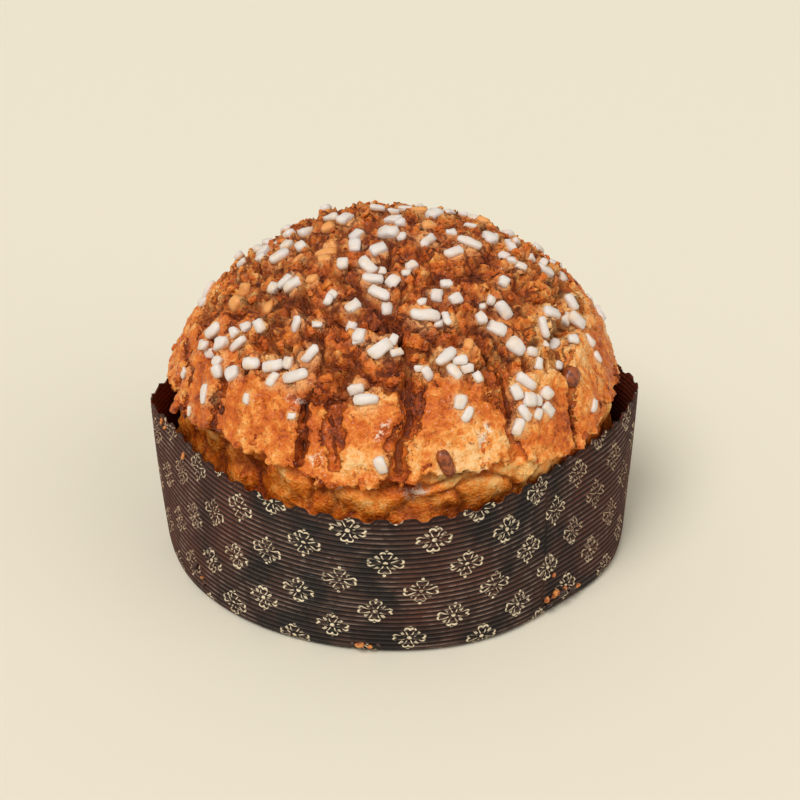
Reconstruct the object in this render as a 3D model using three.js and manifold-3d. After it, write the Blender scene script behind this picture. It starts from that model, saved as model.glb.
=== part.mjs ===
// A low panettone baked in its round paper mould, in millimetres, +Z up.
// The origin is at the middle of the foot. The shown side faces -Y and its right is +X.
// The loaf's glaze is split by fissures, a ledge parts it from the bare skirt below,
// and grains of pearl sugar are fused to it.
import * as THREE from "three";
import { mergeVertices } from "three/addons/utils/BufferGeometryUtils.js";
import Module from "manifold-3d";

// The paper mould.
const MOULD_RADIUS = 105;
const MOULD_HEIGHT = 70;
const PAPER_THICKNESS = 0.6;
const FOOT_CORNER = 3;
const HEM_WIDTH = 9;
const SCALLOP_COUNT = 66;
const SCALLOP_DEPTH = 2.4;
const SCALLOP_BAND = 6;
const STEPS_PER_SCALLOP = 4;
const WALL_BELLY = 0.8;
const JOINT_GAP = 0.3;

// Where the soft paper stands out of round: the bearing in degrees, the half width in
// degrees, and how far it is out in millimetres, at the rim and at the foot.
const RIM_LOBES = [
  { at: -92, width: 30, out: 12 },
  { at: -42, width: 24, out: -8.5 },
  { at: 1, width: 9, out: 4.5 },
  { at: 28, width: 18, out: -4 },
  { at: 88, width: 30, out: 12 },
  { at: 160, width: 18, out: -4 },
  { at: -173, width: 9, out: 5 },
  { at: -150, width: 18, out: -3 },
];
const FOOT_LOBES = [{ at: -47, width: 18, out: -4.5 }];

// The loaf.
const LOAF_FOOT = 1.8;
const LOAF_FOOT_ROUNDING = 4;
const LOAF_CLEARANCE = 0.8;
const LOAF_LEAVES_PAPER = 30;
const LOAF_CLEARS_RIM = 76;
const WAIST_RADIUS = 97;
const WAIST_HEIGHT = 74;
const TOP_HEIGHT = 145;
const SHOULDER_POWER = 2.3;
const CROWN_POWER = 1.7;
const WAIST_LOBES = [
  { at: -92, width: 42, out: 10 },
  { at: 88, width: 42, out: 10 },
];
const LOAF_COLUMNS = 66;
const DOME_ROWS = 22;
const SIDE_ROWS = 6;

// Relief of the crust. A share runs from 0 at the crown to 1 at the waist.
const SWELL_FADES_BELOW = 1 / 3;
const SWELL_WAVES = [
  { height: 0.83, lobes: 3, twist: 4, phase: 0.7 },
  { height: 0.45, lobes: 5, twist: -3, phase: 2.1 },
  { height: 0.53, lobes: 2, twist: 9, phase: 0 },
];
const FISSURE_BEARINGS = [-142, -112, -88, -60, -40, -14, 12, 37, 66, 91, 118, 146, 172, 196];
const FISSURE_DEPTH = 3.8;
const FISSURE_HALF_WIDTH = 3.2;
const FISSURE_STARTS = { share: 0.22, spread: 0.1, step: 7, full: 0.5 };
const FISSURE_WANDER = { reach: 5, waves: 5.1, step: 2.3, fade: 0.4 };
const LEDGE_SHARE = 0.915;
const LEDGE_WAVE = { share: 0.035, lobes: 7, phase: 1.2 };
const LEDGE_ABOVE = 0.03;
const LEDGE_BELOW = 0.05;
const LEDGE_OVERHANG = 2.2;
const SKIRT_ROLLS = { count: 17, height: 1.4, drift: 1.5, lobes: 3 };
const SKIRT_FISSURE_SHARE = 0.4;

// Pearl sugar.
const GRAIN_CLUSTERS = 34;
const GRAINS_PER_CLUSTER = 3;
const GRAIN_LENGTH = 8.5;
const GRAIN_WIDTH = 5;
const GRAIN_HEIGHT = 4.6;
const GRAIN_SINK = 1.1;
const GRAIN_SIDES = 6;
const GRAIN_FULL_SHARE = 0.6;
const GRAIN_SIZE = { least: 0.85, spread: 0.3 };
const CLUSTER_SPREAD = 7.2;
const CLUSTER_REACH = { least: 0.75, spread: 0.35 };
const CLUSTER_TURN_SPREAD = 0.6;
const CROWN_SHARE = 0.02;
const SUGARED_SHARE = 0.8;
const SUGAR_SEED = 20;
const RANDOM_FACTOR = 16807;
const RANDOM_RANGE = 2147483647;

const FULL_TURN = 2 * Math.PI;
const GOLDEN_ANGLE = Math.PI * (3 - Math.sqrt(5));
const wasm = await Module();
wasm.setup();

// How far a set of lobes pushes a bearing out, in millimetres.
function lobesAt(lobes, bearing) {
  let out = 0;
  for (const lobe of lobes) {
    const apart = bearing - THREE.MathUtils.degToRad(lobe.at);
    const nearest = Math.atan2(Math.sin(apart), Math.cos(apart));
    const share = nearest / THREE.MathUtils.degToRad(lobe.width);
    out += lobe.out * Math.exp(-share * share);
  }
  return out;
}

// The mould's outer radius at a bearing and height, without its rounded foot.
function mouldRadius(bearing, height) {
  const share = height / MOULD_HEIGHT;
  const belly = WALL_BELLY * Math.sin(Math.PI * Math.min(share, 1));
  return (
    MOULD_RADIUS +
    lobesAt(FOOT_LOBES, bearing) * (1 - share) +
    lobesAt(RIM_LOBES, bearing) * share +
    belly
  );
}

// A ring of points round the axis, from a radius and a height for each bearing.
function ring(count, radiusAt, heightAt) {
  const points = [];
  for (let i = 0; i < count; i++) {
    const bearing = (FULL_TURN * i) / count;
    const radius = radiusAt(bearing);
    points.push([radius * Math.cos(bearing), radius * Math.sin(bearing), heightAt(bearing)]);
  }
  return points;
}

// Collects triangles between rings and gives them as a geometry.
class Skin {
  constructor() {
    this.triangles = [];
  }

  // Joins two rings that run upwards on the outside. One may have a whole multiple of the other's points.
  stitch(lower, upper) {
    const count = Math.max(lower.length, upper.length);
    const lowerStep = count / lower.length;
    const upperStep = count / upper.length;
    const lowerAt = (i) => lower[Math.floor(i / lowerStep + 0.5) % lower.length];
    const upperAt = (i) => upper[Math.floor(i / upperStep + 0.5) % upper.length];
    for (let i = 0; i < count; i++) {
      const [a, b] = [lowerAt(i), lowerAt(i + 1)];
      const [c, d] = [upperAt(i), upperAt(i + 1)];
      if (a !== b) this.triangles.push(a, b, d);
      if (c !== d) this.triangles.push(a, d, c);
    }
  }

  // Closes a ring with a fan to one point. upwards is true for a lid that faces up.
  cap(rim, apex, upwards) {
    rim.forEach((point, i) => {
      const next = rim[(i + 1) % rim.length];
      if (upwards) this.triangles.push(point, next, apex);
      else this.triangles.push(next, point, apex);
    });
  }

  geometry() {
    const positions = new Float32Array(this.triangles.flat());
    const made = new THREE.BufferGeometry();
    made.setAttribute("position", new THREE.BufferAttribute(positions, 3));
    return made;
  }
}

function toManifold(geometry) {
  const merged = mergeVertices(geometry, 1e-3);
  return new wasm.Manifold(
    new wasm.Mesh({
      numProp: 3,
      vertProperties: merged.attributes.position.array,
      triVerts: new Uint32Array(merged.index.array),
    }),
  );
}

function fromManifold(solid) {
  const mesh = solid.getMesh();
  const made = new THREE.BufferGeometry();
  made.setAttribute("position", new THREE.BufferAttribute(mesh.vertProperties, 3));
  made.setIndex(new THREE.BufferAttribute(mesh.triVerts, 1));
  made.computeVertexNormals();
  return made;
}

// The paper wall: a thin tube with a rounded foot, a hem turned in under it and a scalloped rim.
function paperWall() {
  const scallops = SCALLOP_COUNT * STEPS_PER_SCALLOP;
  const bandStart = MOULD_HEIGHT - SCALLOP_BAND;
  const innerCorner = FOOT_CORNER - PAPER_THICKNESS;
  const rimHeight = (bearing) =>
    MOULD_HEIGHT + (SCALLOP_DEPTH / 2) * Math.cos(SCALLOP_COUNT * bearing);
  const plain = (inset, height) =>
    ring(SCALLOP_COUNT, (bearing) => mouldRadius(bearing, height) - inset, () => height);
  const rim = (inset) =>
    ring(scallops, (bearing) => mouldRadius(bearing, MOULD_HEIGHT) - inset, rimHeight);
  const corner = (radius, degrees) => {
    const turn = THREE.MathUtils.degToRad(degrees);
    const inset = FOOT_CORNER - radius * Math.sin(turn);
    return ring(
      SCALLOP_COUNT,
      (bearing) => mouldRadius(bearing, 0) - inset,
      () => FOOT_CORNER - radius * Math.cos(turn),
    );
  };
  const hemInset = FOOT_CORNER + HEM_WIDTH;
  const loop = [
    plain(hemInset, 0),
    corner(FOOT_CORNER, 0),
    corner(FOOT_CORNER, 45),
    plain(0, FOOT_CORNER),
    plain(0, MOULD_HEIGHT / 2),
    plain(0, bandStart),
    rim(0),
    rim(PAPER_THICKNESS),
    plain(PAPER_THICKNESS, bandStart),
    plain(PAPER_THICKNESS, MOULD_HEIGHT / 2),
    plain(PAPER_THICKNESS, FOOT_CORNER),
    corner(innerCorner, 45),
    corner(innerCorner, 0),
    ring(SCALLOP_COUNT, (bearing) => mouldRadius(bearing, 0) - hemInset, () => PAPER_THICKNESS),
  ];
  const skin = new Skin();
  loop.forEach((points, i) => skin.stitch(points, loop[(i + 1) % loop.length]));
  return skin.geometry();
}

// The paper disc glued on the hem.
function paperBase() {
  const outline = ring(
    SCALLOP_COUNT,
    (bearing) => mouldRadius(bearing, 0) - FOOT_CORNER - JOINT_GAP,
    () => 0,
  );
  const shape = new THREE.Shape(outline.map(([x, y]) => new THREE.Vector2(x, y)));
  const disc = new THREE.ExtrudeGeometry(shape, { depth: PAPER_THICKNESS, bevelEnabled: false });
  disc.translate(0, 0, PAPER_THICKNESS + JOINT_GAP);
  return disc;
}

// The wander of a fissure off its bearing, in millimetres, on its way down the dome.
function fissureWander(index, share) {
  const { reach, waves, step, fade } = FISSURE_WANDER;
  return reach * Math.sin(waves * share + step * index) * (1 - fade * share);
}

// How deep the nearest fissure is, from 0 to 1.
function fissureShare(bearing, share, radius) {
  let deepest = 0;
  FISSURE_BEARINGS.forEach((degrees, i) => {
    const apart = bearing - THREE.MathUtils.degToRad(degrees);
    const nearest = Math.atan2(Math.sin(apart), Math.cos(apart));
    const across = (nearest * radius - fissureWander(i, share)) / FISSURE_HALF_WIDTH;
    const start = FISSURE_STARTS.share + FISSURE_STARTS.spread * Math.sin(FISSURE_STARTS.step * i);
    const reach = THREE.MathUtils.smoothstep(share, start, FISSURE_STARTS.full);
    deepest = Math.max(deepest, reach * Math.exp(-across * across));
  });
  return deepest;
}

// Relief on the dome at a bearing and a share of the way from the crown to the waist.
function crustRelief(bearing, share, radius) {
  let swell = 0;
  for (const wave of SWELL_WAVES) {
    swell += wave.height * Math.sin(wave.lobes * bearing + wave.twist * share + wave.phase);
  }
  swell *= Math.min(1, share / SWELL_FADES_BELOW);
  const ledgeTurn = LEDGE_WAVE.lobes * bearing + LEDGE_WAVE.phase;
  const ledge = LEDGE_SHARE + LEDGE_WAVE.share * Math.sin(ledgeTurn);
  const skirt = THREE.MathUtils.smoothstep(share, ledge - LEDGE_ABOVE, ledge + LEDGE_BELOW);
  const rollTurn = SKIRT_ROLLS.count * bearing + SKIRT_ROLLS.drift * Math.sin(SKIRT_ROLLS.lobes * bearing);
  const rolls = SKIRT_ROLLS.height * Math.sin(rollTurn);
  const cut = FISSURE_DEPTH * fissureShare(bearing, share, radius);
  return swell - cut * (1 - (1 - SKIRT_FISSURE_SHARE) * skirt) + skirt * (rolls - LEDGE_OVERHANG);
}

// A point of the dome's plain form, with the outward normal of its profile.
function domePoint(bearing, share) {
  const turn = (Math.PI / 2) * share;
  const waist = WAIST_RADIUS + lobesAt(WAIST_LOBES, bearing);
  const rise = TOP_HEIGHT - WAIST_HEIGHT;
  const radius = waist * Math.sin(turn) ** (2 / SHOULDER_POWER);
  const height = WAIST_HEIGHT + rise * Math.cos(turn) ** (2 / CROWN_POWER);
  const outward = Math.sin(turn) ** (2 - 2 / SHOULDER_POWER) / waist;
  const upward = Math.cos(turn) ** (2 - 2 / CROWN_POWER) / rise;
  const length = Math.hypot(outward, upward);
  return { radius, height, outward: outward / length, upward: upward / length };
}

// The largest radius that the paper leaves for the loaf at a height.
function roomInMould(bearing, height) {
  if (height > LOAF_CLEARS_RIM) return Infinity;
  return mouldRadius(bearing, Math.min(height, MOULD_HEIGHT)) - PAPER_THICKNESS - LOAF_CLEARANCE;
}

// A point of the crust, relief included.
function crustPoint(bearing, share) {
  const plain = domePoint(bearing, share);
  const relief = crustRelief(bearing, share, plain.radius);
  const height = plain.height + relief * plain.upward;
  const radius = plain.radius + relief * plain.outward;
  return { radius: Math.min(radius, roomInMould(bearing, height)), height };
}

// The loaf's radius between its foot and its waist: against the paper first, then drawing in.
function sideRadius(bearing, height) {
  const room = roomInMould(bearing, height);
  if (height <= LOAF_LEAVES_PAPER) return room;
  const share = (height - LOAF_LEAVES_PAPER) / (WAIST_HEIGHT - LOAF_LEAVES_PAPER);
  const blend = THREE.MathUtils.smoothstep(share, 0, 1);
  const waist = crustPoint(bearing, 1).radius;
  const drawnIn = THREE.MathUtils.lerp(roomInMould(bearing, LOAF_LEAVES_PAPER), waist, blend);
  return Math.min(room, drawnIn);
}

function loafCore() {
  const skin = new Skin();
  const rings = [];
  const footInset = LOAF_FOOT_ROUNDING;
  rings.push(
    ring(
      LOAF_COLUMNS,
      (bearing) => sideRadius(bearing, LOAF_FOOT) - footInset,
      () => LOAF_FOOT,
    ),
  );
  const sideStart = LOAF_FOOT + LOAF_FOOT_ROUNDING;
  for (let i = 0; i < SIDE_ROWS; i++) {
    const height = sideStart + ((WAIST_HEIGHT - sideStart) * i) / SIDE_ROWS;
    rings.push(
      ring(
        LOAF_COLUMNS,
        (bearing) => sideRadius(bearing, height),
        () => height,
      ),
    );
  }
  for (let i = 0; i < DOME_ROWS; i++) {
    const share = 1 - i / DOME_ROWS;
    rings.push(
      ring(
        LOAF_COLUMNS,
        (bearing) => crustPoint(bearing, share).radius,
        (bearing) => crustPoint(bearing, share).height,
      ),
    );
  }
  for (let i = 0; i + 1 < rings.length; i++) skin.stitch(rings[i], rings[i + 1]);
  skin.cap(rings[0], [0, 0, LOAF_FOOT], false);
  skin.cap(rings[rings.length - 1], [0, 0, TOP_HEIGHT], true);
  return skin.geometry();
}

// Seeded random numbers from 0 to 1.
function randomFrom(seed) {
  let state = seed;
  return () => {
    state = (state * RANDOM_FACTOR) % RANDOM_RANGE;
    return state / RANDOM_RANGE;
  };
}

// One grain of pearl sugar: a six-sided nugget with blunt ends, along X.
function grainGeometry(length, width, height) {
  const section = (at) => {
    const points = [];
    for (let i = 0; i < GRAIN_SIDES; i++) {
      const turn = (FULL_TURN * i) / GRAIN_SIDES;
      points.push([at, (width * Math.cos(turn)) / 2, (height * Math.sin(turn)) / 2]);
    }
    return points;
  };
  const skin = new Skin();
  const near = section((-GRAIN_FULL_SHARE * length) / 2);
  const far = section((GRAIN_FULL_SHARE * length) / 2);
  skin.stitch(near, far);
  skin.cap(near, [-length / 2, 0, 0], false);
  skin.cap(far, [length / 2, 0, 0], true);
  return skin.geometry();
}

// Grains in clusters of a few, spread evenly over the sugared part of the dome by the golden angle.
function sugarGrains() {
  const random = randomFrom(SUGAR_SEED);
  const grains = [];
  const placed = [];
  for (let c = 0; c < GRAIN_CLUSTERS; c++) {
    const share = SUGARED_SHARE * Math.sqrt((c + 0.5) / GRAIN_CLUSTERS);
    const bearing = c * GOLDEN_ANGLE;
    const reach = WAIST_RADIUS * share;
    for (let g = 0; g < GRAINS_PER_CLUSTER; g++) {
      const turn = (FULL_TURN * (g + CLUSTER_TURN_SPREAD * random())) / GRAINS_PER_CLUSTER;
      const away = CLUSTER_SPREAD * (CLUSTER_REACH.least + CLUSTER_REACH.spread * random());
      const grainShare = Math.max(share + (away * Math.cos(turn)) / WAIST_RADIUS, CROWN_SHARE);
      const grainBearing = bearing + (away * Math.sin(turn)) / Math.max(reach, CLUSTER_SPREAD);
      const size = GRAIN_SIZE.least + GRAIN_SIZE.spread * random();
      const spin = FULL_TURN * random();
      const plain = domePoint(grainBearing, grainShare);
      const crust = crustPoint(grainBearing, grainShare);
      const around = new THREE.Vector3(Math.cos(grainBearing), Math.sin(grainBearing), 0);
      const normal = around.clone().multiplyScalar(plain.outward);
      normal.z = plain.upward;
      const centre = around.clone().multiplyScalar(crust.radius);
      centre.z = crust.height;
      centre.addScaledVector(normal, GRAIN_HEIGHT / 2 - GRAIN_SINK);
      if (placed.some((other) => other.distanceTo(centre) < GRAIN_WIDTH)) continue;
      placed.push(centre);
      const turned = new THREE.Quaternion().setFromUnitVectors(new THREE.Vector3(0, 0, 1), normal);
      const spun = new THREE.Quaternion().setFromAxisAngle(new THREE.Vector3(0, 0, 1), spin);
      const grain = grainGeometry(GRAIN_LENGTH * size, GRAIN_WIDTH * size, GRAIN_HEIGHT);
      grain.applyQuaternion(turned.multiply(spun));
      grain.translate(centre.x, centre.y, centre.z);
      grains.push(grain);
    }
  }
  return grains;
}

// The loaf with its grains fused on. A grain that hangs clear over a fissure is dropped.
function panettone() {
  const grains = sugarGrains().map(toManifold);
  const fused = wasm.Manifold.union([toManifold(loafCore()), ...grains]);
  const bodies = fused.decompose().sort((a, b) => b.volume() - a.volume());
  return fromManifold(bodies[0]);
}

const crustMaterial = new THREE.MeshStandardMaterial({
  color: 0xb5651f,
  roughness: 0.62,
  metalness: 0,
});
const paperMaterial = new THREE.MeshStandardMaterial({
  color: 0x3a241c,
  roughness: 0.42,
  metalness: 0,
});

const model = new THREE.Group();
const pieces = [
  { name: "paper_wall", geometry: paperWall(), material: paperMaterial },
  { name: "paper_base", geometry: paperBase(), material: paperMaterial.clone() },
  { name: "panettone", geometry: panettone(), material: crustMaterial },
];
for (const piece of pieces) {
  const mesh = new THREE.Mesh(piece.geometry, piece.material);
  mesh.name = piece.name;
  model.add(mesh);
}

export default model;
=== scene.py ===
"""A low panettone in its printed paper mould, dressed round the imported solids.

Shapes are worked out in millimetres and put into meshes in metres, +Z up, with the origin at the
middle of the foot. The shown side faces -Y and its right is +X.
"""

from __future__ import annotations

import logging
import math
from dataclasses import dataclass, field
from enum import Enum
from typing import Callable, Sequence

import bpy
import numpy as np
from mathutils import Matrix, Vector, noise
from mathutils.bvhtree import BVHTree

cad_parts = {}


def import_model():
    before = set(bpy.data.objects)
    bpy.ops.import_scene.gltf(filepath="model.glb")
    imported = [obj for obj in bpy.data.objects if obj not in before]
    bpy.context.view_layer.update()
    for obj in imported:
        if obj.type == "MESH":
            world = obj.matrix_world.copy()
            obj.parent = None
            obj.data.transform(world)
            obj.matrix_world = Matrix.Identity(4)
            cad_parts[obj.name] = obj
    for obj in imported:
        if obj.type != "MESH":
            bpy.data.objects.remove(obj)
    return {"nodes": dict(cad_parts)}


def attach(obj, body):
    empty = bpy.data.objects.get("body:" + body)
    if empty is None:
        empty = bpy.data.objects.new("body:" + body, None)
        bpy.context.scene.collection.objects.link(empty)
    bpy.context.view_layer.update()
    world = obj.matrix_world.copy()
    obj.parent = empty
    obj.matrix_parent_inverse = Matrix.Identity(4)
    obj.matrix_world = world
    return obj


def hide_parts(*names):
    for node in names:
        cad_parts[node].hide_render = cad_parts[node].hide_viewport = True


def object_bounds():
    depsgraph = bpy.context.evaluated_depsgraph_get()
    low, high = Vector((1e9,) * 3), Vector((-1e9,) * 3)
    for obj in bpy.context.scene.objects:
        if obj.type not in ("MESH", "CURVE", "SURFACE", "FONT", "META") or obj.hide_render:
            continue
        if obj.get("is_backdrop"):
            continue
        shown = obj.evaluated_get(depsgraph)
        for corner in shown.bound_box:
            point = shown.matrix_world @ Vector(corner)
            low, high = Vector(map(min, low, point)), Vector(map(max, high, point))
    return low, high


LOG = logging.getLogger("panettone")
MM = 0.001
NOISE_SEED = 8
FULL_TURN = 2 * math.pi
GOLDEN_ANGLE = math.pi * (3 - math.sqrt(5))
CUSHION_HEIGHT = 0.9
Array = np.ndarray
Material = bpy.types.Material
Socket = bpy.types.NodeSocket
Spot = tuple[int, int, int, int, int]
SMALLEST = 1e-6


class Slot(Enum):
    """Material slots by name."""

    CRUST = "crust"
    PAPER = "mould_paper"
    SUGAR = "pearl_sugar"


class Browning(Enum):
    """How far a grain of sugar has browned in the oven."""

    WHITE = 0
    TAN = 1


def srgb(red: float, green: float, blue: float) -> tuple[float, float, float, float]:
    """Turns a colour as the eye reads it into the shader's linear one.

    Args:
        red: Red from 0 to 255.
        green: Green from 0 to 255.
        blue: Blue from 0 to 255.

    Returns:
        Linear red, green and blue, with full alpha.
    """
    linear = []
    for value in (red, green, blue):
        share = value / 255
        linear.append(share / 12.92 if share <= 0.04045 else ((share + 0.055) / 1.055) ** 2.4)
    return (linear[0], linear[1], linear[2], 1.0)


def smoothstep(value: Array, low: float | Array, high: float | Array) -> Array:
    """Rises smoothly from 0 at low to 1 at high.

    Args:
        value: The values to read.
        low: Where the rise starts.
        high: Where it ends.

    Returns:
        The share for each value.
    """
    share = np.clip((value - low) / (high - low), 0, 1)
    return share * share * (3 - 2 * share)


def unit(vectors: Array) -> Array:
    """Gives vectors their length of 1."""
    return vectors / np.linalg.norm(vectors, axis=-1, keepdims=True)


def rough(points: Array, size: float, octaves: int = 2, seed: float = 0.0) -> Array:
    """Reads a soft random field.

    Args:
        points: Points in millimetres.
        size: The size of the largest lumps in millimetres.
        octaves: How many finer layers there are.
        seed: Moves to another part of the field.

    Returns:
        A value from about -1 to 1 for each point.
    """
    shift = Vector((seed * 7.1, seed * 3.3, -seed * 5.7))
    return np.array(
        [noise.fractal(Vector(p) / size + shift, 1.0, 2.0, octaves) for p in points.tolist()]
    )


def drift(points: Array, size: float, reach: float, seed: float = 0.0) -> Array:
    """Reads a soft random field of vectors.

    Args:
        points: Points in millimetres.
        size: The size of the lumps in millimetres.
        reach: About how long the vectors get, in millimetres.
        seed: Moves to another part of the field.

    Returns:
        One vector for each point.
    """
    shift = Vector((seed * 2.9, -seed * 6.1, seed * 4.3))
    noise.seed_set(NOISE_SEED)
    return reach * np.array([noise.noise_vector(Vector(p) / size + shift) for p in points.tolist()])


def cells(points: Array, size: Sequence[float]) -> tuple[Array, Array]:
    """Parts space into random cells.

    Args:
        points: Points in millimetres.
        size: The cells' size in millimetres along X, Y and Z.

    Returns:
        The distance to the cell's middle and how far off the border is, both as shares of size.
    """
    scaled = (points / np.array(size)).tolist()
    near = np.empty(len(scaled))
    border = np.empty(len(scaled))
    for i, point in enumerate(scaled):
        distances, _ = noise.voronoi(point)
        near[i] = distances[0]
        border[i] = distances[1] - distances[0]
    return near, border


def mesh_piece(name: str, points: Array, faces: Sequence[Sequence[int]]) -> bpy.types.Object:
    """Makes a smooth mesh object at the origin.

    Args:
        name: The piece's name.
        points: Its vertices in millimetres.
        faces: Its faces as vertex numbers.

    Returns:
        The new object.
    """
    mesh = bpy.data.meshes.new(name)
    mesh.from_pydata((points * MM).tolist(), [], faces)
    mesh.polygons.foreach_set("use_smooth", [True] * len(mesh.polygons))
    mesh.update()
    piece = bpy.data.objects.new(name, mesh)
    bpy.context.scene.collection.objects.link(piece)
    return piece


def add_mask(piece: bpy.types.Object, name: str, values: Array) -> None:
    """Writes one number for each vertex, which a material reads by name.

    Args:
        piece: The mesh object.
        name: The mask's name.
        values: One value for each vertex.
    """
    attribute = piece.data.attributes.new(name, "FLOAT", "POINT")
    attribute.data.foreach_set("value", np.clip(values, 0, 1).astype(np.float32))


class Wiring:
    """Adds nodes to a tree and joins them."""

    def __init__(self, tree: bpy.types.NodeTree) -> None:
        """Keeps the tree that the nodes go into."""
        self.tree = tree

    def node(self, kind: str, inputs: dict | None = None, **settings: object) -> bpy.types.Node:
        """Adds a node.

        Args:
            kind: Its type name.
            inputs: What goes into it, by the input's name or number.
            **settings: Its properties.

        Returns:
            The node.
        """
        made = self.tree.nodes.new(kind)
        for name, value in settings.items():
            setattr(made, name, value)
        for name, value in (inputs or {}).items():
            self.feed(made.inputs[name], value)
        return made

    def feed(self, target: Socket, value: object) -> None:
        """Links a socket to the target, or sets the target's own value.

        Args:
            target: The input.
            value: A socket, a number or a vector.
        """
        if isinstance(value, Socket):
            self.tree.links.new(value, target)
        else:
            target.default_value = value

    def math(self, operation: str, *values: object, clamp: bool = False) -> Socket:
        """Adds a sum on numbers.

        Args:
            operation: Blender's name for it.
            *values: Sockets or numbers.
            clamp: Whether the result stays from 0 to 1.

        Returns:
            The result's socket.
        """
        made = self.node("ShaderNodeMath", operation=operation, use_clamp=clamp)
        for target, value in zip(made.inputs, values):
            self.feed(target, value)
        return made.outputs[0]

    def times(self, first: object, second: object) -> Socket:
        """Multiplies two numbers."""
        return self.math("MULTIPLY", first, second)

    def times_plus(self, first: object, second: object, third: object) -> Socket:
        """Multiplies the first two numbers and adds the third."""
        return self.math("MULTIPLY_ADD", first, second, third)

    def larger(self, first: object, second: object) -> Socket:
        """Takes the larger of two numbers."""
        return self.math("MAXIMUM", first, second)

    def smaller(self, first: object, second: object) -> Socket:
        """Takes the smaller of two numbers."""
        return self.math("MINIMUM", first, second)

    def vector(self, operation: str, *values: object) -> Socket:
        """Adds a sum on vectors.

        Args:
            operation: Blender's name for it.
            *values: Sockets, vectors, or a number for SCALE.

        Returns:
            The result's socket.
        """
        made = self.node("ShaderNodeVectorMath", operation=operation)
        for i, value in enumerate(values):
            is_scale = operation == "SCALE" and i == 1
            self.feed(made.inputs["Scale"] if is_scale else made.inputs[i], value)
        is_number = operation in ("LENGTH", "DISTANCE", "DOT_PRODUCT")
        return made.outputs["Value"] if is_number else made.outputs["Vector"]

    def step(self, value: object, low: float, high: float) -> Socket:
        """Rises smoothly from 0 at low to 1 at high, or falls where low is the larger.

        Args:
            value: The socket to read.
            low: Where the result is 0.
            high: Where the result is 1.

        Returns:
            The share's socket.
        """
        turned = low > high
        inputs = {
            "Value": value,
            "From Min": min(low, high),
            "From Max": max(low, high),
            "To Min": float(turned),
            "To Max": float(not turned),
        }
        made = self.node("ShaderNodeMapRange", inputs, interpolation_type="SMOOTHSTEP")
        return made.outputs["Result"]

    def blend(self, share: object, first: object, second: object) -> Socket:
        """Mixes two colours.

        Args:
            share: How much of the second there is.
            first: A colour or its socket.
            second: A colour or its socket.

        Returns:
            The colour's socket.
        """
        made = self.node("ShaderNodeMix", {"Factor": share, 6: first, 7: second}, data_type="RGBA")
        return made.outputs[2]

    def ramp(self, share: object, stops: Sequence[tuple[float, tuple]]) -> Socket:
        """Reads a colour along a row of stops.

        Args:
            share: Where along the row, from 0 to 1.
            stops: Each stop's place and colour.

        Returns:
            The colour's socket.
        """
        made = self.node("ShaderNodeValToRGB", {"Fac": share})
        elements = made.color_ramp.elements
        while len(elements) < len(stops):
            elements.new(0.5)
        for element, (place, colour) in zip(elements, stops):
            element.position = place
            element.color = colour
        return made.outputs["Color"]

    def grain(self, place: object, size: float, detail: float = 2.0) -> Socket:
        """Reads a random field from 0 to 1.

        Args:
            place: The coordinates' socket, in metres.
            size: The lumps' size in millimetres.
            detail: How many finer layers there are.

        Returns:
            The value's socket.
        """
        inputs = {"Vector": place, "Scale": 1 / (size * MM), "Detail": detail}
        return self.node("ShaderNodeTexNoise", inputs).outputs["Fac"]

    def warped(self, place: object, size: float, reach: float) -> Socket:
        """Bends coordinates by a random field.

        Args:
            place: The coordinates' socket, in metres.
            size: The field's lumps in millimetres.
            reach: How far they move a point, in millimetres.

        Returns:
            The bent coordinates' socket.
        """
        made = self.node("ShaderNodeTexNoise", {"Vector": place, "Scale": 1 / (size * MM)})
        off = self.vector("SUBTRACT", made.outputs["Color"], (0.5, 0.5, 0.5))
        return self.vector("ADD", place, self.vector("SCALE", off, 2 * reach * MM))

    def crack(self, place: object, size: float, width: float) -> Socket:
        """Draws cracks between random cells.

        Args:
            place: The coordinates' socket, in metres.
            size: The cells' size in millimetres.
            width: The cracks' width in millimetres.

        Returns:
            The socket of the cracks' cover, from 0 to 1.
        """
        inputs = {"Vector": place, "Scale": 1 / (size * MM)}
        made = self.node("ShaderNodeTexVoronoi", inputs, feature="DISTANCE_TO_EDGE")
        return self.step(made.outputs["Distance"], width / size, 0.2 * width / size)

    def mask(self, name: str) -> Socket:
        """Reads a vertex mask by name."""
        return self.node("ShaderNodeAttribute", attribute_name=name).outputs["Fac"]

    def far_from(self, x: object, y: object, spot: tuple[float, float]) -> Socket:
        """Measures how far a point is from a spot.

        Args:
            x: The point's first number.
            y: Its second number.
            spot: The spot.

        Returns:
            The distance's socket.
        """
        across = self.math("SUBTRACT", x, spot[0])
        along = self.math("SUBTRACT", y, spot[1])
        squares = self.times_plus(across, across, self.times(along, along))
        return self.math("SQRT", squares)

    def stroke(
        self, x: object, y: object, start: tuple[float, float], end: tuple[float, float]
    ) -> Socket:
        """Measures how far a point is from a straight stroke.

        Args:
            x: The point's first number.
            y: Its second number.
            start: Where the stroke starts.
            end: Where it ends.

        Returns:
            The distance's socket.
        """
        step = (end[0] - start[0], end[1] - start[1])
        square = step[0] ** 2 + step[1] ** 2
        across = self.math("SUBTRACT", x, start[0])
        along = self.math("SUBTRACT", y, start[1])
        share = self.math(
            "MULTIPLY_ADD",
            across,
            step[0] / square,
            self.times(along, step[1] / square),
            clamp=True,
        )
        across = self.times_plus(share, -step[0], across)
        along = self.times_plus(share, -step[1], along)
        return self.far_from(across, along, (0.0, 0.0))


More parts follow.
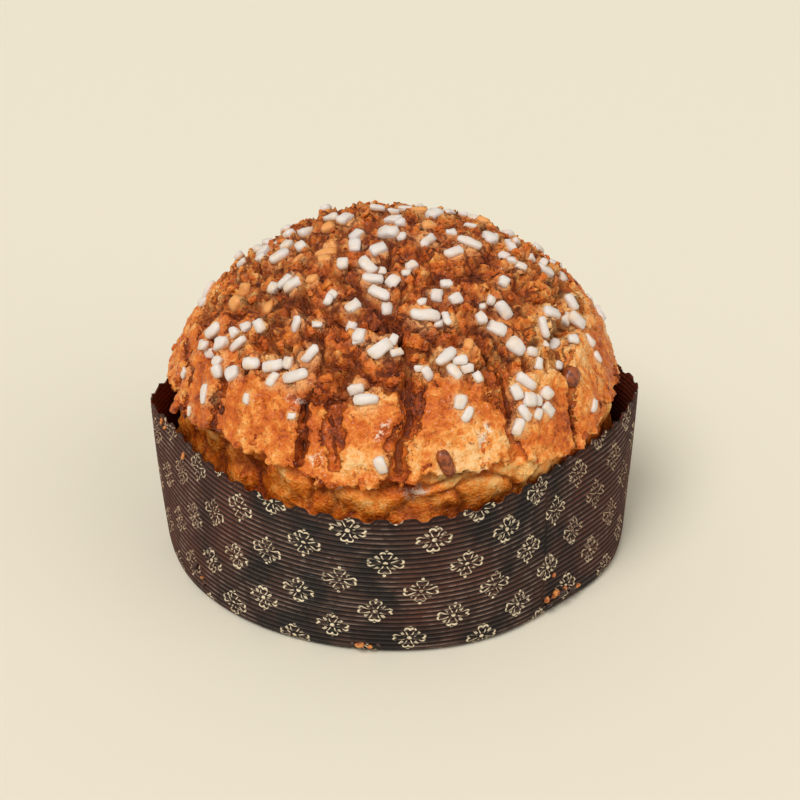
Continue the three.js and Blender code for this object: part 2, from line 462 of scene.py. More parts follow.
class Finish:
    """A material and its shader, which the finishes below fill in."""

    def __init__(self, name: str) -> None:
        """Makes the material with its shader and coordinates.

        Args:
            name: The material's name.
        """
        self.material = bpy.data.materials.new(name)
        self.material.use_nodes = True
        self.wires = Wiring(self.material.node_tree)
        self.shader = self.material.node_tree.nodes["Principled BSDF"]
        self.place = self.wires.node("ShaderNodeTexCoord").outputs["Object"]

    def set(self, name: str, value: object) -> None:
        """Sets or links one of the shader's inputs."""
        self.wires.feed(self.shader.inputs[name], value)

    def relief(self, height: object, depth: float, strength: float = 1.0) -> None:
        """Adds fine relief.

        Args:
            height: The socket to read, from 0 to 1.
            depth: The relief's depth in millimetres.
            strength: How strongly it shades.
        """
        inputs = {"Strength": strength, "Distance": depth * MM, "Height": height}
        self.set("Normal", self.wires.node("ShaderNodeBump", inputs).outputs["Normal"])


@dataclass(frozen=True)
class CrustFinish:
    """Baked almond glaze: golden plates, a browned cap, a bare orange skirt and dark fissures."""

    glaze: tuple = (
        (0.0, srgb(246, 196, 134)),
        (0.22, srgb(240, 160, 78)),
        (0.42, srgb(220, 117, 40)),
        (0.62, srgb(198, 93, 29)),
        (0.8, srgb(146, 62, 20)),
        (1.0, srgb(76, 28, 9)),
    )
    bare: tuple = (
        (0.0, srgb(250, 198, 122)),
        (0.3, srgb(246, 150, 60)),
        (0.55, srgb(222, 110, 26)),
        (0.8, srgb(168, 66, 10)),
        (1.0, srgb(96, 32, 6)),
    )
    # Dark brown of the fissures and cracks, which also carries the painted shade and shadows.
    fissure: tuple = srgb(84, 32, 10)
    pore: tuple = srgb(150, 72, 24)
    starch: tuple = srgb(238, 220, 200)
    syrup: tuple = srgb(240, 188, 126)
    lump_size: float = 7.0
    flake_size: float = 2.8
    crumb_size: float = 1.1
    pore_size: float = 2.1
    dust_and_glint_size: float = 1.0
    crack_size: float = 7.5
    relief_depth: float = 1.9
    specular: float = 0.25

    def material(self) -> Material:
        """Builds the crust's material.

        Returns:
            The material, which reads the masks that the loaf writes.
        """
        finish = Finish("baked_glaze")
        wires = finish.wires
        lumps = wires.grain(finish.place, self.lump_size, 3.0)
        flakes = wires.grain(finish.place, self.flake_size, 4.0)
        crumbs = wires.grain(finish.place, self.crumb_size, 2.0)
        bent = wires.warped(finish.place, 4.0, 2.2)
        ragged = wires.times_plus(flakes, 0.55, -0.275)
        ragged = wires.math("ADD", ragged, wires.times_plus(crumbs, 0.4, -0.2))

        edge = wires.math("ADD", wires.mask("plate"), ragged)
        plate = wires.step(edge, 0.46, 0.54)
        # Painted shadow: a dark band round the foot of each raised plate.
        foot = wires.times(wires.step(edge, 0.26, 0.46), wires.math("SUBTRACT", 1.0, plate))
        ledge = wires.math("ADD", wires.mask("skirt"), wires.times(ragged, 0.5))
        skirt = wires.step(ledge, 0.46, 0.54)
        split = wires.times_plus(ragged, -0.7, wires.mask("split"))
        split = wires.step(split, 0.42, 0.68)
        crack = wires.times(wires.crack(bent, self.crack_size, 0.9), wires.mask("cap"))
        crack = wires.times(crack, wires.step(lumps, 0.60, 0.46))
        pores = wires.step(wires.grain(bent, self.pore_size, 2.0), 0.63, 0.68)
        pores = wires.times(pores, wires.step(lumps, 0.38, 0.55))

        heat_and_shade = wires.times_plus(plate, -0.22, wires.mask("toast_and_shade"))
        heat_and_shade = wires.math("ADD", heat_and_shade, wires.times_plus(lumps, -0.9, 0.45))
        # Painted shade: the glaze is lighter where its fine relief stands up and darker in its pits.
        heat_and_shade = wires.math("SUBTRACT", heat_and_shade, wires.times(ragged, 1.3), clamp=True)
        colour = wires.blend(skirt, wires.ramp(heat_and_shade, self.glaze), wires.ramp(heat_and_shade, self.bare))
        pored = wires.times(pores, wires.times_plus(plate, 0.5, 0.15))
        colour = wires.blend(pored, colour, self.pore)
        starch = wires.times(wires.mask("starch"), wires.step(ragged, -0.02, 0.06))
        colour = wires.blend(starch, colour, self.starch)
        syrup = wires.times(wires.mask("syrup"), wires.step(ragged, -0.16, 0.05))
        colour = wires.blend(wires.times(syrup, 0.8), colour, self.syrup)
        # White specks: partly sugar dust, partly painted glints.
        dust_and_glints = wires.step(wires.grain(finish.place, self.dust_and_glint_size, 1.0), 0.7, 0.76)
        colour = wires.blend(wires.times(dust_and_glints, 0.45), colour, self.starch)
        # Dark colour: partly the browner crust in the fissures and cracks, partly painted shade in them.
        dark = wires.times(split, 0.72)
        dark = wires.larger(dark, wires.times(crack, 0.8))
        dark = wires.larger(dark, wires.times(foot, 0.4))
        # Painted shade in the crust's gaps and painted shadow under its ledge.
        dark = wires.larger(dark, wires.mask("painted_crevice_shade"))
        colour = wires.blend(dark, colour, self.fissure)

        finish.set("Base Color", colour)
        gloss = wires.step(wires.grain(finish.place, 1.7, 2.0), 0.58, 0.44)
        dull = wires.times_plus(dark, 0.4, 0.17)
        finish.set("Roughness", wires.times_plus(gloss, 0.36, dull))
        finish.set("Specular IOR Level", self.specular)
        height = wires.times_plus(ragged, 1.0, wires.times(plate, 0.34))
        height = wires.times_plus(wires.math("ADD", crack, split), -0.3, height)
        height = wires.times_plus(pores, -0.16, height)
        finish.relief(height, self.relief_depth)
        return finish.material


@dataclass(frozen=True)
class PaperFinish:
    """Dark brown ribbed baking paper with a worn gold print of rosettes."""

    brown: tuple = srgb(62, 38, 29)
    # Deep brown of the stains, also used for the painted shade in the rib grooves.
    deep: tuple = srgb(20, 12, 10)
    reddish: tuple = srgb(94, 46, 30)
    # Pale crest colour: partly wear on the ribs' crests, partly a painted highlight.
    crest: tuple = srgb(206, 182, 166)
    inside: tuple = srgb(120, 52, 26)
    gold: tuple = srgb(226, 208, 176)
    side_shaded_gold: tuple = srgb(166, 134, 102)
    specular: float = 0.3
    greased: tuple = (((-44.0, -98.0, 34.0), 58.0), ((12.0, -107.0, 40.0), 40.0))
    # Two fixed patches on the left and right of the wall: the paper is redder there, and the gold is dimmed
    # as painted shade.
    side_patches: tuple = (((-102.0, -36.0, 40.0), 90.0), ((100.0, -40.0, 36.0), 84.0))

    def near(self, finish: Finish, spots: Sequence[tuple[tuple, float]]) -> Socket:
        """Finds the soft-edged areas round some spots on the wall.

        Args:
            finish: The finish that reads them.
            spots: Each area's middle and reach in millimetres.

        Returns:
            The socket of the areas, from 0 to 1.
        """
        wires = finish.wires
        areas = 0.0
        for middle, reach in spots:
            apart = wires.vector("DISTANCE", finish.place, tuple(value * MM for value in middle))
            uneven = wires.grain(finish.place, 15.0, 3.0)
            apart = wires.times_plus(uneven, reach * MM, apart)
            areas = wires.larger(areas, wires.step(apart, 1.3 * reach * MM, 0.7 * reach * MM))
        return areas

    def print_share(self, wires: Wiring, place: "PrintPlace") -> Socket:
        """Draws the rosettes.

        Args:
            wires: The material's nodes.
            place: The lattice of the print.

        Returns:
            The socket of the print's cover, from 0 to 1.
        """
        parts = wires.node("ShaderNodeSeparateXYZ", {0: place.local_point(wires)})
        across = wires.times(wires.math("ABSOLUTE", parts.outputs["X"]), place.sideways)
        along = wires.math("ABSOLUTE", parts.outputs["Y"])
        reach = wires.larger(across, along)
        side = wires.smaller(across, along)
        lobe = wires.far_from(reach, side, place.lobe_centre)
        ring = wires.math("ABSOLUTE", wires.math("SUBTRACT", lobe, place.lobe_radius))
        past = wires.math("SUBTRACT", reach, place.lobe_centre[0])
        ring = wires.times_plus(past, -place.outer_swell, ring)
        inner = wires.step(past, -0.1, -0.3)
        ring = wires.math("ADD", ring, wires.times(inner, 9.0))
        flank = wires.stroke(reach, side, *place.flank)
        spoke = wires.stroke(reach, side, *place.spoke)
        lines = wires.smaller(wires.smaller(ring, flank), spoke)
        lines = wires.math("SUBTRACT", lines, place.stroke_width / 2)
        tip = wires.far_from(along, across, place.tip_centre)
        tip = wires.math("SUBTRACT", tip, place.tip_radius)
        heart = wires.far_from(across, along, (0.0, 0.0))
        heart = wires.math("SUBTRACT", heart, place.heart_radius)
        shape = wires.smaller(lines, wires.smaller(tip, heart))
        return wires.step(shape, 0.14, -0.06)

    def material(self, place: "PrintPlace") -> Material:
        """Builds the paper's material.

        Args:
            place: The lattice of the print.

        Returns:
            The material, which reads the ribs' mask and the developed UV map.
        """
        finish = Finish("ribbed_paper")
        wires = finish.wires
        crest = wires.mask("rib")
        within = wires.mask("within")
        patch = wires.step(wires.grain(finish.place, 45.0, 2.0), 0.5, 0.72)
        stain = wires.step(wires.grain(finish.place, 16.0, 3.0), 0.42, 0.6)
        fibre = wires.grain(finish.place, 1.2, 3.0)
        colour = wires.blend(stain, self.brown, self.deep)
        greased = self.near(finish, self.greased)
        side_patches = self.near(finish, self.side_patches)
        warm = wires.times(patch, 0.7)
        warm = wires.larger(warm, wires.times(side_patches, 0.6))
        colour = wires.blend(warm, colour, self.reddish)
        colour = wires.blend(within, colour, self.inside)
        # Painted shade: the rib grooves are darkened towards the deep brown.
        painted_groove_shade = wires.times(wires.step(crest, 0.86, 0.3), 0.85)
        colour = wires.blend(painted_groove_shade, colour, self.deep)
        # Pale lines on the rib crests: partly wear, partly a painted highlight.
        crest_wear_and_highlight_line = wires.step(crest, 0.84, 0.98)
        streak = wires.step(wires.grain(finish.place, 14.0, 2.0), 0.38, 0.6)
        streak = wires.times(streak, wires.times_plus(stain, -0.85, 1.0))
        streak = wires.times(streak, 0.3)
        broken = wires.step(wires.grain(finish.place, 3.5, 3.0), 0.36, 0.58)
        crest_wear_and_highlight = wires.times_plus(wires.times(streak, broken), 0.85, 0.05)
        colour = wires.blend(wires.times(crest_wear_and_highlight_line, crest_wear_and_highlight), colour, self.crest)
        cover = self.print_share(wires, place)
        worn = wires.step(wires.grain(finish.place, 2.0, 3.0), 0.3, 0.48)
        worn = wires.times(worn, wires.step(crest, 0.0, 0.5))
        cover = wires.times(cover, worn)
        cover = wires.times(cover, wires.math("SUBTRACT", 1.0, within))
        # Painted shade: the gold is dimmed in the side patches.
        gold = wires.blend(wires.times(side_patches, 0.8), self.gold, self.side_shaded_gold)
        finish.set("Base Color", wires.blend(cover, colour, gold))
        shine = wires.times(wires.larger(streak, greased), broken)
        shine = wires.times(wires.step(crest, 0.2, 0.6), shine)
        dull = wires.times_plus(shine, -0.5, 0.6)
        finish.set("Roughness", wires.times_plus(fibre, 0.3, dull))
        finish.set("Specular IOR Level", self.specular)
        wobble = wires.grain(finish.place, 5.0, 2.0)
        finish.relief(wires.times_plus(wobble, 5.0, fibre), 0.14)
        return finish.material


@dataclass(frozen=True)
class PrintPlace:
    """The print's lattice and the sizes of one rosette, in millimetres on the flat paper."""

    radius: float = 108.0
    rise: float = 0.85
    first_bearing: float = -84.9
    first_height: float = 34.4
    step_right: tuple[float, float] = (17.92, 12.104)
    step_down: tuple[float, float] = (13.565, -17.8)
    lean: float = 4.0
    sideways: float = 0.95
    lobe_centre: tuple[float, float] = (5.1, 1.15)
    lobe_radius: float = 1.05
    outer_swell: float = 0.19
    flank: tuple = ((2.0, 0.75), (4.8, 2.05))
    spoke: tuple = ((2.7, 2.3), (3.9, 3.5))
    stroke_width: float = 0.3
    tip_centre: tuple[float, float] = (7.4, 0.0)
    tip_radius: float = 0.55
    heart_radius: float = 0.85

    def local_point(self, wires: Wiring) -> Socket:
        """Finds the place within the nearest rosette.

        Args:
            wires: The material's nodes.

        Returns:
            The socket of the point, in millimetres from the rosette's middle.
        """
        first = (
            math.radians(self.first_bearing) * self.radius,
            self.first_height / self.rise,
            0.0,
        )
        flat = wires.node("ShaderNodeUVMap", uv_map="flat_paper").outputs["UV"]
        point = wires.vector("SUBTRACT", wires.vector("SCALE", flat, 1 / MM), first)
        right, down = self.step_right, self.step_down
        spread = right[0] * down[1] - down[0] * right[1]
        across = wires.vector("DOT_PRODUCT", point, (down[1] / spread, -down[0] / spread, 0))
        along = wires.vector("DOT_PRODUCT", point, (-right[1] / spread, right[0] / spread, 0))
        for share, step in ((across, right), (along, down)):
            whole = wires.math("ROUND", share)
            offset = wires.vector("SCALE", (step[0], step[1], 0.0), whole)
            point = wires.vector("SUBTRACT", point, offset)
        turn = math.radians(self.lean)
        x = wires.vector("DOT_PRODUCT", point, (math.cos(turn), -math.sin(turn), 0))
        y = wires.vector("DOT_PRODUCT", point, (math.sin(turn), math.cos(turn), 0))
        return wires.node("ShaderNodeCombineXYZ", {"X": x, "Y": y}).outputs["Vector"]


@dataclass(frozen=True)
class SugarFinish:
    """Opaque pearl sugar, chalky with a slightly moist edge."""

    name: str = "pearl_sugar"
    light: tuple = srgb(224, 214, 206)
    shade: tuple = srgb(226, 204, 180)
    soaked: tuple = srgb(232, 180, 128)
    depth_glow: float = 0.12
    glow_reach: float = 1.2

    def material(self) -> Material:
        """Builds the sugar's material.

        Returns:
            The material.
        """
        finish = Finish(self.name)
        wires = finish.wires
        cloud = wires.grain(finish.place, 5.0, 2.0)
        crumb = wires.grain(finish.place, 0.8, 3.0)
        colour = wires.blend(wires.step(cloud, 0.45, 0.75), self.light, self.shade)
        level = wires.math("ADD", wires.mask("level"), wires.times(cloud, 0.35))
        finish.set("Base Color", wires.blend(wires.step(level, 0.75, 0.45), colour, self.soaked))
        finish.set("Roughness", 0.5)
        finish.set("Subsurface Weight", self.depth_glow)
        finish.shader.inputs["Subsurface Radius"].default_value = (1.0, 0.8, 0.6)
        finish.shader.inputs["Subsurface Scale"].default_value = self.glow_reach * MM
        finish.relief(crumb, 0.15)
        return finish.material


@dataclass(frozen=True)
class MorselFinish:
    """Something baked dark: dried fruit in the crust, or crumbs burnt on the paper."""

    name: str
    light: tuple
    dark: tuple
    roughness: float

    def material(self) -> Material:
        """Builds the material.

        Returns:
            The material.
        """
        finish = Finish(self.name)
        wires = finish.wires
        lump = wires.grain(finish.place, 1.8, 3.0)
        finish.set("Base Color", wires.blend(wires.step(lump, 0.38, 0.6), self.dark, self.light))
        finish.set("Roughness", self.roughness)
        finish.relief(lump, 0.4)
        return finish.material


@dataclass
class PhotoCamera:
    """The camera at the photograph's angle, and the rays through its pixels."""

    elevation: float = 31.5
    distance: float = 700.0
    focal: float = 1479.8
    frame: float = 800.0
    sensor: float = 36.0
    foot_at: tuple[float, float] = (395.5, 518.5)

    def __post_init__(self) -> None:
        """Works out where the camera stands and how it is turned."""
        steep = math.radians(self.elevation)
        self.place = self.distance * Vector((0, -math.cos(steep), math.sin(steep)))
        middle = self.frame / 2
        lifted = math.atan((self.foot_at[1] - middle) / self.focal) - steep
        turned = math.atan((middle - self.foot_at[0]) / self.focal)
        self.forward = Vector(
            (math.sin(turned) * math.cos(lifted), math.cos(turned) * math.cos(lifted), math.sin(lifted))
        )
        self.right = self.forward.cross(Vector((0, 0, 1))).normalized()
        self.up = self.right.cross(self.forward)

    def ray(self, x: float, y: float) -> Vector:
        """Gives the direction through a pixel.

        Args:
            x: Pixels from the photograph's left edge.
            y: Pixels from its top edge.

        Returns:
            The direction, with a length of 1.
        """
        middle = self.frame / 2
        return (self.forward * self.focal + self.right * (x - middle) - self.up * (y - middle)).normalized()

    def build(self) -> bpy.types.Object:
        """Makes the camera and gives it to the scene.

        Returns:
            The camera object.
        """
        data = bpy.data.cameras.new("photo_camera")
        data.sensor_width = self.sensor
        data.lens = self.sensor * self.focal / self.frame
        camera = bpy.data.objects.new("photo_camera", data)
        turned = Matrix((self.right, self.up, -self.forward)).transposed()
        camera.matrix_world = Matrix.Translation(self.place * MM) @ turned.to_4x4()
        bpy.context.scene.collection.objects.link(camera)
        bpy.context.scene.camera = camera
        return camera


@dataclass(frozen=True)
class Lobe:
    """A stretch where a round form stands out: its bearing, half width in degrees and reach."""

    at: float
    width: float
    out: float


def lobes_at(lobes: Sequence[Lobe], bearing: Array) -> Array:
    """Adds up how far lobes push a bearing out.

    Args:
        lobes: The lobes.
        bearing: Bearings in radians.

    Returns:
        Millimetres for each bearing.
    """
    out = np.zeros_like(bearing)
    for lobe in lobes:
        apart = bearing - math.radians(lobe.at)
        nearest = np.arctan2(np.sin(apart), np.cos(apart))
        out = out + lobe.out * np.exp(-((nearest / math.radians(lobe.width)) ** 2))
    return out


@dataclass
class PaperMould:
    """The ribbed paper mould: wall, rounded foot, turned-in hem and scalloped rim."""

    radius: float = 105.0
    height: float = 70.0
    thickness: float = 0.5
    foot_corner: float = 3.0
    corner_degrees: tuple[float, ...] = (0, 30, 60)
    hem_width: float = 9.0
    scallops: int = 66
    scallop_depth: float = 2.4
    scallop_band: float = 6.0
    columns_per_scallop: int = 5
    belly: float = 0.8
    rib_pitch: float = 2.42
    rib_depth: float = 0.85
    rows_per_rib_outside: int = 6
    rows_per_rib_inside: int = 3
    seam_bearing: float = -53.0
    rim_lobes: tuple[Lobe, ...] = (
        Lobe(-92, 30, 12),
        Lobe(-42, 24, -8.5),
        Lobe(1, 9, 4.5),
        Lobe(28, 18, -4),
        Lobe(88, 30, 12),
        Lobe(160, 18, -4),
        Lobe(-173, 9, 5),
        Lobe(-150, 18, -3),
    )
    foot_lobes: tuple[Lobe, ...] = (Lobe(-47, 18, -4.5),)
    print_place: PrintPlace = field(default_factory=PrintPlace)

    def wall_radius(self, bearing: Array, height: Array) -> Array:
        """Gives the wall's outer radius.

        Args:
            bearing: Bearings in radians.
            height: Heights in millimetres.

        Returns:
            Radii in millimetres.
        """
        share = height / self.height
        bulge = self.belly * np.sin(math.pi * np.clip(share, 0, 1))
        foot = lobes_at(self.foot_lobes, bearing) * (1 - share)
        return self.radius + foot + lobes_at(self.rim_lobes, bearing) * share + bulge

    def profile(self, bearing: Array) -> list[tuple[Array, Array, float, float]]:
        """Works out the rows of the wall, from the hem up the outside and down the inside.

        Args:
            bearing: The columns' bearings.

        Returns:
            For each row its radii, heights, the share of the ribs' depth and 1 where it is inside.
        """
        rows = []
        level = np.zeros_like(bearing)
        foot = self.wall_radius(bearing, level)
        hem = self.foot_corner + self.hem_width
        band_start = self.height - self.scallop_band
        rim = self.height + self.scallop_depth / 2 * np.cos(self.scallops * bearing)

        def add_corner(bend: float, degrees: float, within: float) -> None:
            """Adds a row of the rounded foot.

            Args:
                bend: The corner's radius there.
                degrees: How far round the corner the row is.
                within: 1 on the inside.
            """
            turn = math.radians(degrees)
            inset = self.foot_corner - bend * math.sin(turn)
            rows.append((foot - inset, level + self.foot_corner - bend * math.cos(turn), 0.0, within))

        rows.append((foot - hem, level, 0.0, 0.0))
        for degrees in self.corner_degrees:
            add_corner(self.foot_corner, degrees, 0.0)
        for per_rib, inset, within in (
            (self.rows_per_rib_outside, 0.0, 0.0),
            (self.rows_per_rib_inside, self.thickness, 1.0),
        ):
            spacing = self.rib_pitch / per_rib
            plain = int((band_start - self.foot_corner) / spacing)
            band = int(self.scallop_band / spacing) + 1
            heights = [level + self.foot_corner + i * spacing for i in range(plain + 1)]
            start = heights[-1]
            heights += [start + (rim - start) * (i + 1) / band for i in range(band)]
            for height in heights if within == 0 else reversed(heights):
                grown = min(1.0, float(np.min(height) - self.foot_corner) / self.rib_pitch)
                rows.append((self.wall_radius(bearing, height) - inset, height, grown, within))
        for degrees in reversed(self.corner_degrees):
            add_corner(self.foot_corner - self.thickness, degrees, 1.0)
        rows.append((foot - hem, level + self.thickness, 0.0, 1.0))
        return rows

    def rib_tree(self, material: Material) -> bpy.types.NodeTree:
        """Builds the tree that presses the ribs into the plain wall.

        Args:
            material: The wall's material.

        Returns:
            The tree, with the pitch, depth and seam as named inputs.
        """
        wires, given = open_tree("pressed_ribs", "Pitch", "Depth", "Seam")
        spot = wires.node("GeometryNodeInputPosition").outputs[0]
        parts = wires.node("ShaderNodeSeparateXYZ", {0: spot})
        bearing = wires.math("ARCTAN2", parts.outputs["Y"], parts.outputs["X"])
        past = wires.math("SUBTRACT", bearing, given["Seam"])
        round_share = wires.math("FRACT", wires.math("DIVIDE", past, FULL_TURN))
        turns = wires.math("DIVIDE", parts.outputs["Z"], given["Pitch"])
        turns = wires.math("ADD", turns, wires.times(round_share, 0.5))
        crest = wires.math("ABSOLUTE", wires.math("COSINE", wires.times(turns, math.pi)))
        weight = wires.node("GeometryNodeInputNamedAttribute", {"Name": "rib_share"}, data_type="FLOAT")
        out = wires.times(wires.math("SUBTRACT", crest, 0.5), given["Depth"])
        out = wires.times(out, weight.outputs["Attribute"])
        outward = wires.vector("NORMALIZE", wires.vector("MULTIPLY", spot, (1.0, 1.0, 0.0)))
        offset = wires.vector("SCALE", outward, out)
        moved = wires.node("GeometryNodeSetPosition", {"Geometry": given["Geometry"], "Offset": offset})
        inputs = {"Name": "rib", "Geometry": moved.outputs[0], "Value": crest}
        stored = wires.node("GeometryNodeStoreNamedAttribute", inputs, data_type="FLOAT", domain="POINT")
        return finish_tree(wires, stored.outputs[0], material)

    def build(self) -> bpy.types.Object:
        """Makes the wall with its ribs.

        Returns:
            The finished piece.
        """
        count = self.scallops * self.columns_per_scallop
        bearing = np.arange(count) * FULL_TURN / count
        rows = self.profile(bearing)
        points = []
        for radius, height, _, _ in rows:
            points.append(np.stack([radius * np.cos(bearing), radius * np.sin(bearing), height], axis=1))
        faces, corners = [], []
        for row in range(len(rows)):
            above = (row + 1) % len(rows)
            for i in range(count):
                beside = (i + 1) % count
                faces.append(
                    (row * count + i, row * count + beside, above * count + beside, above * count + i)
                )
                corners.append(((row, i), (row, i + 1), (above, i + 1), (above, i)))
        piece = mesh_piece("mould_wall", np.concatenate(points), faces)
        ones = np.ones(count)
        add_mask(piece, "rib_share", np.concatenate([ones * row[2] for row in rows]))
        add_mask(piece, "within", np.concatenate([ones * row[3] for row in rows]))
        self.add_flat_map(piece, np.array(corners), np.array([row[1] for row in rows]), count)
        material = PaperFinish().material(self.print_place)
        inputs = {
            "Pitch": self.rib_pitch * MM,
            "Depth": self.rib_depth * MM,
            "Seam": math.radians(self.seam_bearing),
        }
        run_tree(piece, self.rib_tree(material), inputs)
        return piece

    def add_flat_map(
        self, piece: bpy.types.Object, corners: Array, heights: Array, count: int
    ) -> None:
        """Writes where each corner lies on the flat paper, in metres.

        Args:
            piece: The wall.
            corners: The row and column of each face's corners.
            heights: The height of each row and column, in millimetres.
            count: How many columns there are.
        """
        row, column = corners[..., 0].ravel(), corners[..., 1].ravel()
        bearing = column * FULL_TURN / count
        along = bearing * self.print_place.radius
        up = heights[row, column % count] / self.print_place.rise
        flat = piece.data.uv_layers.new(name="flat_paper")
        flat.uv.foreach_set("vector", (np.stack([along, up], axis=1) * MM).astype(np.float32).ravel())


def open_tree(name: str, *sizes: str) -> tuple[Wiring, bpy.types.bpy_prop_collection]:
    """Starts a geometry tree.

    Args:
        name: The tree's name.
        *sizes: The names of the sizes that it reads.

    Returns:
        Its nodes, and the geometry and sizes that it is given.
    """
    tree = bpy.data.node_groups.new(name, "GeometryNodeTree")
    tree.interface.new_socket("Geometry", in_out="INPUT", socket_type="NodeSocketGeometry")
    for size in sizes:
        tree.interface.new_socket(size, in_out="INPUT", socket_type="NodeSocketFloat")
    tree.interface.new_socket("Geometry", in_out="OUTPUT", socket_type="NodeSocketGeometry")
    wires = Wiring(tree)
    return wires, wires.node("NodeGroupInput").outputs


def finish_tree(
    wires: Wiring, geometry: Socket, material: Material
) -> bpy.types.NodeTree:
    """Ends a geometry tree.

    Args:
        wires: The tree's nodes.
        geometry: What the tree has made.
        material: The material that it gets.

    Returns:
        The tree.
    """
    realized = wires.node("GeometryNodeRealizeInstances", {0: geometry})
    inputs = {"Geometry": realized.outputs[0], "Material": material}
    wires.node("NodeGroupOutput", {0: wires.node("GeometryNodeSetMaterial", inputs).outputs[0]})
    return wires.tree


def run_tree(piece: bpy.types.Object, tree: bpy.types.NodeTree, inputs: dict[str, float]) -> None:
    """Runs a geometry tree on a piece and keeps the result as its plain mesh.

    Args:
        piece: The object.
        tree: The tree.
        inputs: The tree's inputs by name.
    """
    modifier = piece.modifiers.new(tree.name, "NODES")
    modifier.node_group = tree
    for item in tree.interface.items_tree:
        if item.in_out == "INPUT" and item.name in inputs:
            modifier[item.identifier] = inputs[item.name]
    graph = bpy.context.evaluated_depsgraph_get()
    graph.update()
    made = bpy.data.meshes.new_from_object(piece.evaluated_get(graph), depsgraph=graph)
    piece.modifiers.remove(modifier)
    plain = piece.data
    piece.data = made
    name = plain.name
    bpy.data.meshes.remove(plain)
    made.name = name


@dataclass(frozen=True)
class Fissure:
    """A split in the glaze, followed down the photograph."""

    path: tuple[tuple[float, float], ...]
    depth: float = 3.4
    half_width: float = 1.9


@dataclass(frozen=True)
class Streak:
    """A long bulge or patch on the crust: its middle in the photograph, its lean and its sizes."""

    x: float
    y: float
    lean: float
    length: float
    width: float
    height: float = 0.0


@dataclass
class CrustFields:
    """What the crust's relief gives to its material, one value for each vertex."""

    toast_and_shade: Array
    cap: Array
    plate: Array
    split: Array
    skirt: Array
    painted_crevice_shade: Array
    starch: Array
    crumble: Array


@dataclass(frozen=True)
class CrustSizes:
    """The crust's forms: lengths in millimetres, and edges as shares of the way down.

    A blend holds how much of the broad, the middle and the small noise goes in.
    """

    tears: tuple = ((13, 2.6, 1), (4.0, 1.3, 2), (1.9, 0.5, 3))
    broad: float = 26
    middle: float = 9
    small: float = 3.2
    flake: float = 11
    lump_cell: tuple = (17, 17, 17)
    crumb_cell: tuple = (6.5, 6.5, 6.5)
    roll_cell: tuple = (21, 21, 12.5)
    roll_drift: tuple = (15, 6, 5)
    lump_gap: float = 0.12
    crumb_gap: float = 0.16
    roll_gap: float = 0.10
    scale_gap: float = 0.12
    scale_gap_shows: tuple = (-0.3, 0.2)
    cap_blend: tuple = (0.10, 0.09, 0.05)
    cap_edge: tuple = (0.03, 0.05)
    ledge_waves: tuple = (7, 1.2)
    ledge_blend: tuple = (0.04, 0.015)
    skirt_edge: tuple = (0.006, 0.012)
    lip_above: float = 0.018
    lip_width: float = 0.02
    plate_from: float = 3.2
    plate_rise: float = 5
    plate_blend: tuple = (0.3, 0.5, 0.3)
    plate_edge: float = 0.12
    flake_blend: tuple = (0.7, 0.35)
    flake_edge: tuple = (0.06, 0.2)
    scale_blend: tuple = (0.5, 2.3, 0.5)
    swell_waves: tuple = ((0.55, 3, 4, 0.7), (0.3, 5, -3, 2.1), (0.35, 2, 9, 0.0))
    swell_start: float = 3
    crumbly: tuple = (0.25, 0.75)
    crumb_depth: float = 1.7
    scale_height: float = 1.3
    lump_depth: float = 3.2
    middle_height: float = 1.2
    middle_on_cap: tuple = (0.9, 0.2)
    small_on_plate: float = 0.5
    uncut_skirt: float = 0.5
    plate_height: float = 1.9
    flake_height: float = 1.2
    lip_height: float = 0.9
    roll_height: float = 4.6
    roll_level: float = 0.62
    roll_gap_depth: float = 1.6
    hollow_spread: float = 0.75
    leaves_plain: tuple = (2, 16)


@dataclass(frozen=True)
class CrustShades:
    """How brown the crust's forms are, partly painted shade, and how dark the painted shade in its gaps and
    under its ledge is, as shares.
    """

    ledge_below: float = 0.022
    ledge_width: float = 0.014
    ledge_shows: tuple = (-0.4, 0.3)
    lump_gap: float = 1.0
    crumb_gap: float = 0.6
    scale_gap: float = 0.7
    roll_gap: float = 0.75
    ledge: float = 0.8
    gap_blend: tuple = (0.8, 0.5)
    gap_heights: tuple = (20, 40)
    cap: tuple = (0.46, 0.16, 0.16, 0.08)
    plate: tuple = (0.72, 0.16, 0.06, 0.22)
    skirt: tuple = (0.11, 0.62, 0.2)
    skirt_foot: tuple = (1.0, 1.12)
    fine: float = 0.06
    patch_edge: tuple = (-0.6, 0.7)
    starch_edge: tuple = (-0.3, 0.6)
    starch: float = 0.8
    crumble: tuple = (0.5, 0.5, 0.5, 0.05, 0.6)
    crumble_in_gap: float = 0.7
    edge_slope: float = 1.1
    split_reach: float = 1.5
    split_depth: float = 1.6
    split_on_skirt: float = 0.6
    skirt_slope: float = 0.05


@dataclass
class CrustNoise:
    """The random fields that the crust's forms follow, and its points as torn by them."""

    torn: Array
    broad: Array
    middle: Array
    small: Array


@dataclass
class CrustZones:
    """How far each vertex lies in each kind of crust, and where the ledge runs."""

    cap: Array
    ledge: Array
    skirt: Array
    lip: Array
    glazed: Array
    raised: Array
    plate: Array
    flake: Array


@dataclass
class CrustGaps:
    """The gaps between lumps, crumbs, scales and rolls, and how far each is from its middle."""

    lump: Array
    crumb: Array
    crumb_near: Array
    roll: Array
    roll_near: Array
    scales: Array
    scale: Array


